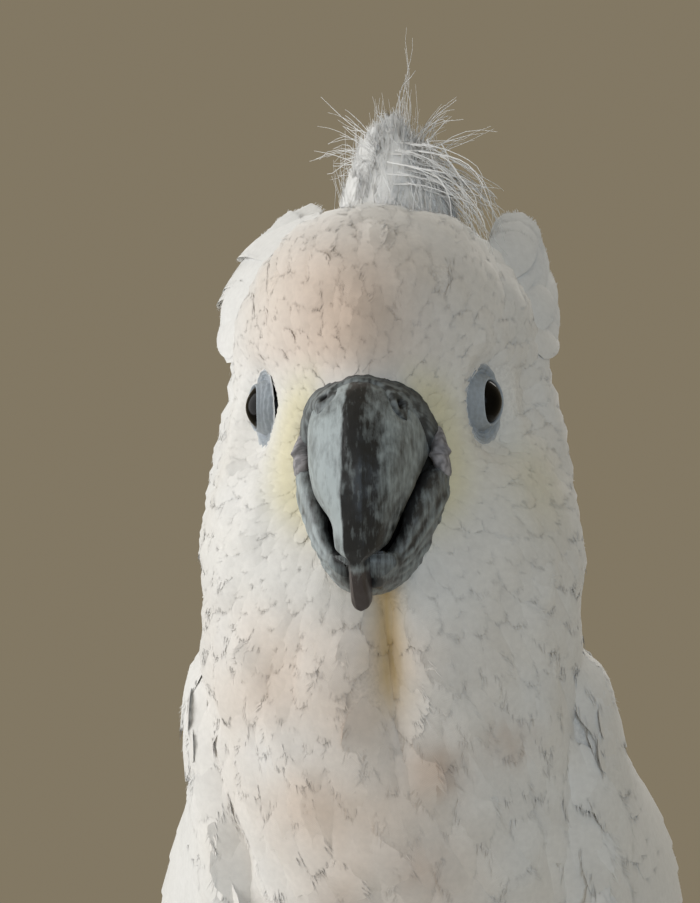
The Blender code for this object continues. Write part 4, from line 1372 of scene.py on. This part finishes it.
def make_tuft(material):
    """Loose down on the crown: a soft core with plumes, thin wisps that stand out, threads that droop."""
    random = np.random.default_rng(43)
    count = DOWN_COUNT
    _, reach, starts = oval(random, count, 0.0, 13.0, 9.5, -2.5)
    height = 5 + 10 * (1 - reach**2) + random.uniform(-3, 3, count)
    narrow = 0.36 + 0.4 * reach * random.uniform(0.2, 1.2, count)
    ends = np.stack([starts[:, 0] * narrow, starts[:, 1] * narrow + 2, height], 1)
    ends += random.normal(0, 1.8, (count, 3))
    middles = (starts + ends) / 2 + random.normal(0, 1.5, (count, 3))
    middles[:, :2] -= 0.12 * starts[:, :2]
    made = strands(starts, middles, ends, random.uniform(0.06, 0.12, count), 7, 1.0, random)
    add_coat("coat_tuft_core", made, material, random, ["crown_tuft"])
    count = PLUME_COUNT
    turn, reach, starts = oval(random, count, 0.05, 11.5, 8.5, -3.0)
    height = 3 + 12 * (1 - reach**2) + random.uniform(-1.5, 2.5, count)
    ends = np.stack([8.0 * reach * np.cos(turn) - 1.5, 5 * reach * np.sin(turn) + 2, height], 1)
    middles = (starts + ends) / 2 + np.stack([np.cos(turn), np.sin(turn), np.zeros(count)], 1) * 2.0
    lines = arc(*(places + TUFT_ROOT for places in (starts, middles, ends)), 8)
    ups = facing(lines, np.stack([np.cos(turn), np.sin(turn) - 0.35, np.full(count, 0.3)], 1))
    halves = random.uniform(2.6, 4.2, count)
    made = feathers(lines, ups, halves, 5, 140, random, (0.3, 3.0, 0.6), 0.25, 0.1, 1.5)
    add_coat("coat_tuft_plumes", made, material, random, ["crown_tuft"])
    found = []
    for across, ahead, up in np.repeat(WISPS, STRANDS_EACH, axis=0):
        tip = np.array([across, -ahead, up], float)
        shorter = random.uniform(0.6, 1.0)
        end = tip * shorter + random.normal(0, 0.5 + 1.6 * (1 - shorter), 3)
        start = tip * random.uniform(0.1, 0.25) + random.normal(0, 1.0, 3)
        start[2] = random.uniform(2, 7)
        middle = (start + end) / 2 + (-0.16 * across, 0, 3.5) + random.normal(0, 0.6, 3)
        found.append((start, middle, end))
    for _ in range(DROOPING_COUNT):
        start = np.array([random.uniform(-3, 9), random.uniform(-6, 4), random.uniform(1, 11)])
        end = np.array([random.uniform(11, 20), random.uniform(-6, 4), random.uniform(-13, 1)])
        x = end[0] - random.uniform(0.5, 4)
        middle = np.array([x, (start[1] + end[1]) / 2, start[2] + random.uniform(-4, 1)])
        found.append((start, middle, end))
    places = np.array(found).transpose(1, 0, 2)
    made = strands(*places, random.uniform(0.09, 0.17, len(found)), 10, 1.1, random)
    add_coat("coat_tuft_wisps", made, material, random, ["crown_tuft"])


# ---------------- wings and tail

# Stations that the folded wing lies on: y, z, half width, reach to the front and to the back, steepness.
WING_CARRIER = np.array([
    (160, 28, 20, 5, 9, 28),
    (120, 47, 26, 8, 14, 29),
    (82, 67, 33, 14, 22, 34),
    (50, 88, 40, 29, 32, 41),
    (24, 109, 45, 50, 41, 42),
    (-3, 134, 48.5, 58, 46, 45),
    (-25, 159, 44, 53, 41, 53),
    (-39, 182, 39.5, 43, 33, 65),
    (-45, 203, 38.0, 37, 27, 78),
], float)
# Along the folded wing from its bend to its tip: place on the carrier, lower and upper edge, thickness.
WING_LINES = [
    (7.65, 84, 100, 0.8), (7.35, 72, 118, 1.6), (6.8, 58, 134, 2.2), (6.1, 46, 150, 4.0),
    (5.2, 48, 161, 7.2), (4.2, 62, 168, 7.5), (3.2, 80, 173, 6.5), (2.2, 96, 175, 5.5),
    (1.3, 108, 174, 4.5), (0.6, 120, 172, 3.3), (0.0, 142, 164, 1.8),
]


# Primaries, then secondaries: how many; root and tip of the lowest, each as share along the wing and part of
# its height; the step of both to the next one; half width, lift over the wing, and how much more each time.
FLIGHTS = [
    (8, ((0.50, 0.10), (0.80, 0.12)), ((0.012, 0.03), (0.028, 0.055)), 8.0, -0.9, 0.14),
    (11, ((0.36, 0.14), (0.60, 0.10)), ((0.012, 0.075), (0.022, 0.085)), 9.5, 0.2, 0.13),
]
# Coverts in rows from the wing's bend back: first and last row, rows, half width and reach of a feather.
COVERTS = [(0.05, 0.30, 8, 4.6, 0.075), (0.26, 0.40, 3, 6.4, 0.12), (0.36, 0.41, 1, 7.6, 0.20)]
FLIGHT_FORM = (18, 9, 240, BLUNT_TIP, 0.45)  # stations, columns, barbs, outline and reach of the barbs
COVERT_FORM = (8, 5, 60, (0.4, 4.5, 0.5), 0.8)


def wing_point(side, share, part, lift):
    """A point over the wing: its share from bend to tip, its part from the lower to the upper edge."""
    place, low, high, thick = path(WING_LINES, share)
    row = along(WING_CARRIER, place)
    angle, steep = math.radians(low + (high - low) * part), math.radians(row[5])
    fore = np.array([0.0, -math.sin(steep), -math.cos(steep)])
    reach = row[3] if math.cos(angle) >= 0 else row[4]
    edge = max(0.0, 1 - abs(2 * part - 1) ** 3.5)
    lift = 0.4 + (thick - 0.9) * edge + lift
    out = np.array([row[2] + lift, 0, 0]) * math.sin(angle) + fore * (reach + lift) * math.cos(angle)
    return (out + (0, row[0], row[1])) * (side, 1, 1)


def wing_vane(side, root, tip, steps, lift):
    """A line over the wing between two places on it, and the wing's outward direction along it."""
    line, ups = [], []
    for k in range(steps):
        t = k / (steps - 1)
        share, part = (root[n] + (tip[n] - root[n]) * t for n in (0, 1))
        line.append(wing_point(side, share, part, lift * (0.35 + 0.65 * t)))
        ups.append(wing_point(side, share, part, lift + 1.0) - line[-1])
    return np.array(line), unit(np.array(ups))


def make_wing_core(word, material):
    """The flesh and down of the folded wing, under its feathers."""
    points, faces = remeshed([node_mesh(f"wing_{word}")], 1.5)
    points = smooth_points(points, faces, 8, np.full(len(points), 0.5))
    points = points - point_normals(points, faces) * 0.8
    tint = plumage_tint(points)
    make_shape(f"wing_core_{word}", points, faces, tint, material, [f"wing_{word}"])


def make_wing(side, word, material, random):
    """Flight feathers laid over one another from the lower edge up, then rows of coverts on top."""
    groups = []
    for many, first, step, half, lift, rise in FLIGHTS:
        vanes = [np.array(first) + np.array(step) * k for k in range(many)]
        groups.append((vanes, half, lift, rise))
    for number, (first, last, rows, half, reach) in enumerate(COVERTS):
        for row in range(rows):
            start = last - (last - first) * row / max(1, rows - 1)
            many = int(10 + 5 * bell(start - 0.3, 0.2) * (2 - number * 0.5))
            floor = 0.11 * ease(0.22, 0.15, start)  # the lowest ones in front are under breast feathers
            places = [floor + (1 - floor) * (k + 0.5 * (row % 2) + 0.25) / many for k in range(many)]
            ends = start + reach * random.uniform(0.82, 1.12, many)
            starts = start + random.uniform(-0.014, 0.014, many)
            tops = [((s, p), (e, p * 0.97 + 0.015)) for s, p, e in zip(starts, places, ends)]
            groups.append((tops, half, 1.3 + 0.8 * number / 3 + 0.10 * row, 0.02))
    made = {"flight": [], "covert": []}
    for number, (vanes, half, lift, step) in enumerate(groups):
        kind, form = ("flight", FLIGHT_FORM) if number < 2 else ("covert", COVERT_FORM)
        steps, columns, barbs, shape, barb_reach = form
        found = [wing_vane(side, *ends, steps, lift + step * k) for k, ends in enumerate(vanes)]
        lines, ups = (np.array(values) for values in zip(*found))
        halves = half * random.uniform(0.92, 1.08, len(lines))
        made[kind].append(feathers(lines, ups, halves, columns, barbs, random, shape, 0.12, 0.3, barb_reach))
    for kind, same in made.items():
        *values, triangles = zip(*same)
        joined = [np.concatenate(value) for value in values]
        add_coat(f"coat_wing_{word}_{kind}", (*joined, triangles[0]), material, random, [f"wing_{word}"])


TAIL_ROOT, TAIL_TIP = np.array([0.0, 56.0, 77.0]), np.array([0.0, 197.0, 0.9])
TAIL_PAIRS, TAIL_SPREAD = 6, 30.0  # pairs of feathers, and half the fan's width


def make_tail(material):
    """Twelve long feathers, the middle pair on top, fanned a little and worn round at their ends."""
    random = np.random.default_rng(61)
    run = unit(TAIL_TIP - TAIL_ROOT)
    up = np.cross(np.array([1.0, 0.0, 0.0]), run)
    steps = 22
    share = np.linspace(0, 1, steps)
    lines, ups = [], []
    for k in range(TAIL_PAIRS):
        for side in (1, -1):
            turn = side * (k + 0.5) / TAIL_PAIRS
            reach = TAIL_ROOT + (TAIL_TIP - TAIL_ROOT) * (1 - 0.055 * turn**2)
            across = TAIL_SPREAD * turn * (0.22 + 0.78 * share**0.9)
            sag = -3.0 * np.sin(math.pi * share) - 5.0 * (1 - share) * turn**2
            layer = 1.5 - 0.42 * k * (0.35 + 0.65 * (1 - share))
            line = TAIL_ROOT + (reach - TAIL_ROOT) * share[:, None] + np.outer(sag + layer, up)
            line[:, 0] += across
            line[:, 2] = np.maximum(line[:, 2], 0.45)
            lines.append(line)
            ups.append(np.repeat(unit(up + (0.10 * turn, 0, 0))[None], steps, 0))
    lines, ups = np.array(lines), np.array(ups)
    made = feathers(lines, ups, np.full(len(lines), 8.6), 9, 320, random, (0.3, 9.0, 0.5), 0.08, 0.4, 0.4)
    add_coat("coat_tail", made, material, random, ["tail"])
    lines = lines + ups * 0.22
    made = feathers(lines, ups, np.full(len(lines), 0.75), 5, 0, random, (0.1, 3.0, 0.6), -0.35, 0.5)
    add_coat("coat_tail_shafts", made, material, random, ["tail"])


# ---------------- legs

LEG_X, HEEL, FOOT = 25.0, (12.0, 33.0), (-6.0, 7.5)
# Each toe: the way it points in degrees outwards from straight ahead, its length and its girth.
TOES = {
    "inner_front": (-12, 27, 4.3),
    "outer_front": (26, 36, 4.6),
    "outer_back": (141, 33, 4.5),
    "inner_back": (196, 22, 4.0),
}
CLAW_LENGTH = 12.0


def scaly(rings, size, height):
    """Raises rounded scales in staggered rows on a tube."""
    sides = rings.shape[1]
    middles = rings.mean(1, keepdims=True)
    radius = np.linalg.norm(rings - middles, axis=2, keepdims=True).mean()
    run = length_of(np.diff(middles[:, 0], axis=0)).cumsum()
    rows = np.concatenate([[0], run])[:, None] / size
    around = max(6, round(2 * math.pi * radius / size))
    turns = np.arange(sides)[None] / sides * around + 0.5 * (np.floor(rows) % 2)
    dome = np.abs(np.sin(math.pi * rows)) ** 0.6 * np.abs(np.sin(math.pi * turns)) ** 0.6
    return rings + unit(rings - middles) * (height * (dome - 0.5))[..., None]


def leg_piece(name, rings, material, tint):
    points = rings.reshape(-1, 3)
    points[:, 2] = np.maximum(points[:, 2], 0.05 - SHIFT[2])
    tint = tint * (0.85 + 0.12 * waves(points, 5.0, 71))[:, None]
    node = name.replace("scaly_", "").replace("horn_", "")
    make_shape(name, points, ring_faces(rings), tint, material, [node])


def make_leg(side, word, scales, horn):
    """A short scaly shank under the thigh's feathers, two toes ahead and two behind, and their claws."""
    x = side * LEG_X
    heel, foot = np.array([x, *HEEL]), np.array([side * (LEG_X + 1), *FOOT])
    line = [heel + (0, 1, 3), heel, (heel + foot) / 2, foot, foot + (0, -2, -2.5)]
    rings = tube_rings(line, (3.6, 5.6, 4.4, 6.6, 5.0), 72, 90)
    grey = linear(0.36, 0.36, 0.37)
    leg_piece(f"scaly_shank_{word}", scaly(rings, 1.9, 0.45), scales, grey)
    for toe, (heading, length, girth) in TOES.items():
        turn = math.radians(heading)
        way = np.array([side * math.sin(turn), -math.cos(turn), 0])
        across = np.cross(way, (0, 0, 1))
        root = np.array([foot[0], foot[1], girth * 0.68]) + way * 2.5
        rises = ((0, 1.2), (0.35, 0.3), (0.7, 0.0), (1.0, -0.5))
        line = [root + way * length * share + (0, 0, rise) for share, rise in rises]
        radii = [girth * k for k in (0.98, 0.84, 0.99, 0.80, 0.96, 0.78, 0.62)]
        rings = tube_rings(line, radii, 60, 80, across, 0.9)
        leg_piece(f"scaly_toe_{toe}_{word}", scaly(rings, 1.7, 0.4), scales, grey)
        tip = root + way * length
        line = [tip - way * 2.2 + (0, 0, 0.6), tip + way * CLAW_LENGTH * 0.42 + (0, 0, 1.9)]
        line.append(tip + way * CLAW_LENGTH * 0.86 + (0, 0, -1.7))
        rings = tube_rings(line, (2.3, 1.8, 0.35), 28, 30, across)
        leg_piece(f"horn_claw_{toe}_{word}", rings, horn, linear(0.2, 0.2, 0.21))


# ---------------- light, floor and camera

AIM = (-0.0042, 0.0, -0.0085)  # what the camera looks at, from the point between the eyes
CAMERA_RISE, CAMERA_DISTANCE, CAMERA_LENS = math.radians(5.0), 0.33, 72.5
FLOOR_RADIUS, FLOOR_TOP, FLOOR_BOTTOM = 0.33, -0.0002, -0.012
# Soft lights: name, place from the point between the eyes, size, power, colour, and how far up the
# line from the frame's origin to that point the light is aimed.
LIGHTS = [
    ("window", (-0.92, -0.05, 0.2), 1.3, 10.5, (0.96, 0.98, 1.0), 1.0),
    ("fill", (0.3, -0.8, 0.15), 0.8, 2.0, (0.62, 0.80, 1.0), 1.0),
    ("lamp", (-0.14, -0.9, 0.24), 0.05, 0.3, (1.0, 0.98, 0.95), 1.0),
    ("back", (0.2, 0.8, 0.5), 0.8, 5.0, (1.0, 0.98, 0.95), 0.6),
]


def add_light(head, name, place, size, power, colour, aim):
    """A round area light at a place from the head, turned to it or to a point below it."""
    data = bpy.data.lights.new(name, "AREA")
    data.shape = "DISK"
    data.size = size
    data.energy = power
    data.color = colour
    lamp = bpy.data.objects.new(name, data)
    bpy.context.scene.collection.objects.link(lamp)
    lamp.location = head + np.array(place)
    lamp.rotation_euler = (Vector(head * aim) - lamp.location).to_track_quat("-Z", "Y").to_euler()


def set_stage():
    """Plain studio: a wide soft light on the bird's right, weaker ones, a pale floor and the camera."""
    scene = bpy.context.scene
    scene.view_settings.view_transform = "Standard"
    world = bpy.data.worlds.new("studio")
    world.use_nodes = True
    air = world.node_tree.nodes["Background"]
    air.inputs["Color"].default_value = (*linear(0.51, 0.47, 0.39), 1.0)
    air.inputs["Strength"].default_value = 1.0
    scene.world = world
    head = CAD_EYES.mean(0)
    for light in LIGHTS:
        add_light(head, *light)
    steps = 96
    turns = circle(steps)
    rim = [(FLOOR_RADIUS * math.cos(t), FLOOR_RADIUS * math.sin(t), FLOOR_TOP) for t in turns]
    low = [(x, y, FLOOR_BOTTOM) for x, y, _ in rim]
    mesh = bpy.data.meshes.new("floor")
    sides = [(k, k + steps, (k + 1) % steps + steps, (k + 1) % steps) for k in range(steps)]
    mesh.from_pydata(rim + low, [], [tuple(range(steps))] + sides)
    floor = bpy.data.objects.new("floor", mesh)
    scene.collection.objects.link(floor)
    mesh.materials.append(floor_material())
    data = bpy.data.cameras.new("camera")
    data.lens = CAMERA_LENS
    data.clip_start = 0.01
    camera = bpy.data.objects.new("camera", data)
    scene.collection.objects.link(camera)
    back = Vector((0, -math.cos(CAMERA_RISE), math.sin(CAMERA_RISE)))
    camera.location = Vector(head + np.array(AIM)) + back * CAMERA_DISTANCE
    camera.rotation_mode = "QUATERNION"
    camera.rotation_quaternion = (-back).to_track_quat("-Z", "Y")
    scene.camera = camera


# ---------------- the whole bird


def make_bird():
    plumage = plumage_material()
    bill = bill_material()
    leather = leather_material("bare_skin", 1300.0, 0.5)
    surface = Surface(*make_skin())
    # painted shade: the skin in the space between the bill's halves is darkened almost to black
    tint = plumage_tint(surface.points) * (1 - 0.985 * in_mouth(surface.points)[:, None])
    down = skin_material()
    make_shape("skin", surface.points, surface.faces, tint, down, FLESH)
    make_upper_bill(bill)
    make_lower_bill(bill)
    make_cere(leather_material("cere_skin", 1100.0, 0.5))
    make_mouth(leather)
    eye = eye_material()
    scales, claw = leather_material("leg_scales", 1500.0, 0.4), leather_material("claw_horn", 900.0, 0.2)
    random = np.random.default_rng(51)
    for side, word in ((1, "left"), (-1, "right")):
        make_eye(side, word, eye)
        make_lids(side, word, surface.tree, leather)
        make_gape(side, word, leather)
        make_wing_core(word, down)
        make_wing(side, word, plumage, random)
        make_leg(side, word, scales, claw)
    make_crest(plumage)
    make_tuft(plumage)
    make_tail(plumage)
    over = skin_over_wings(surface)
    make_shoulder_down(over, down)
    make_coat(surface, over, plumage)


make_bird()
set_stage()
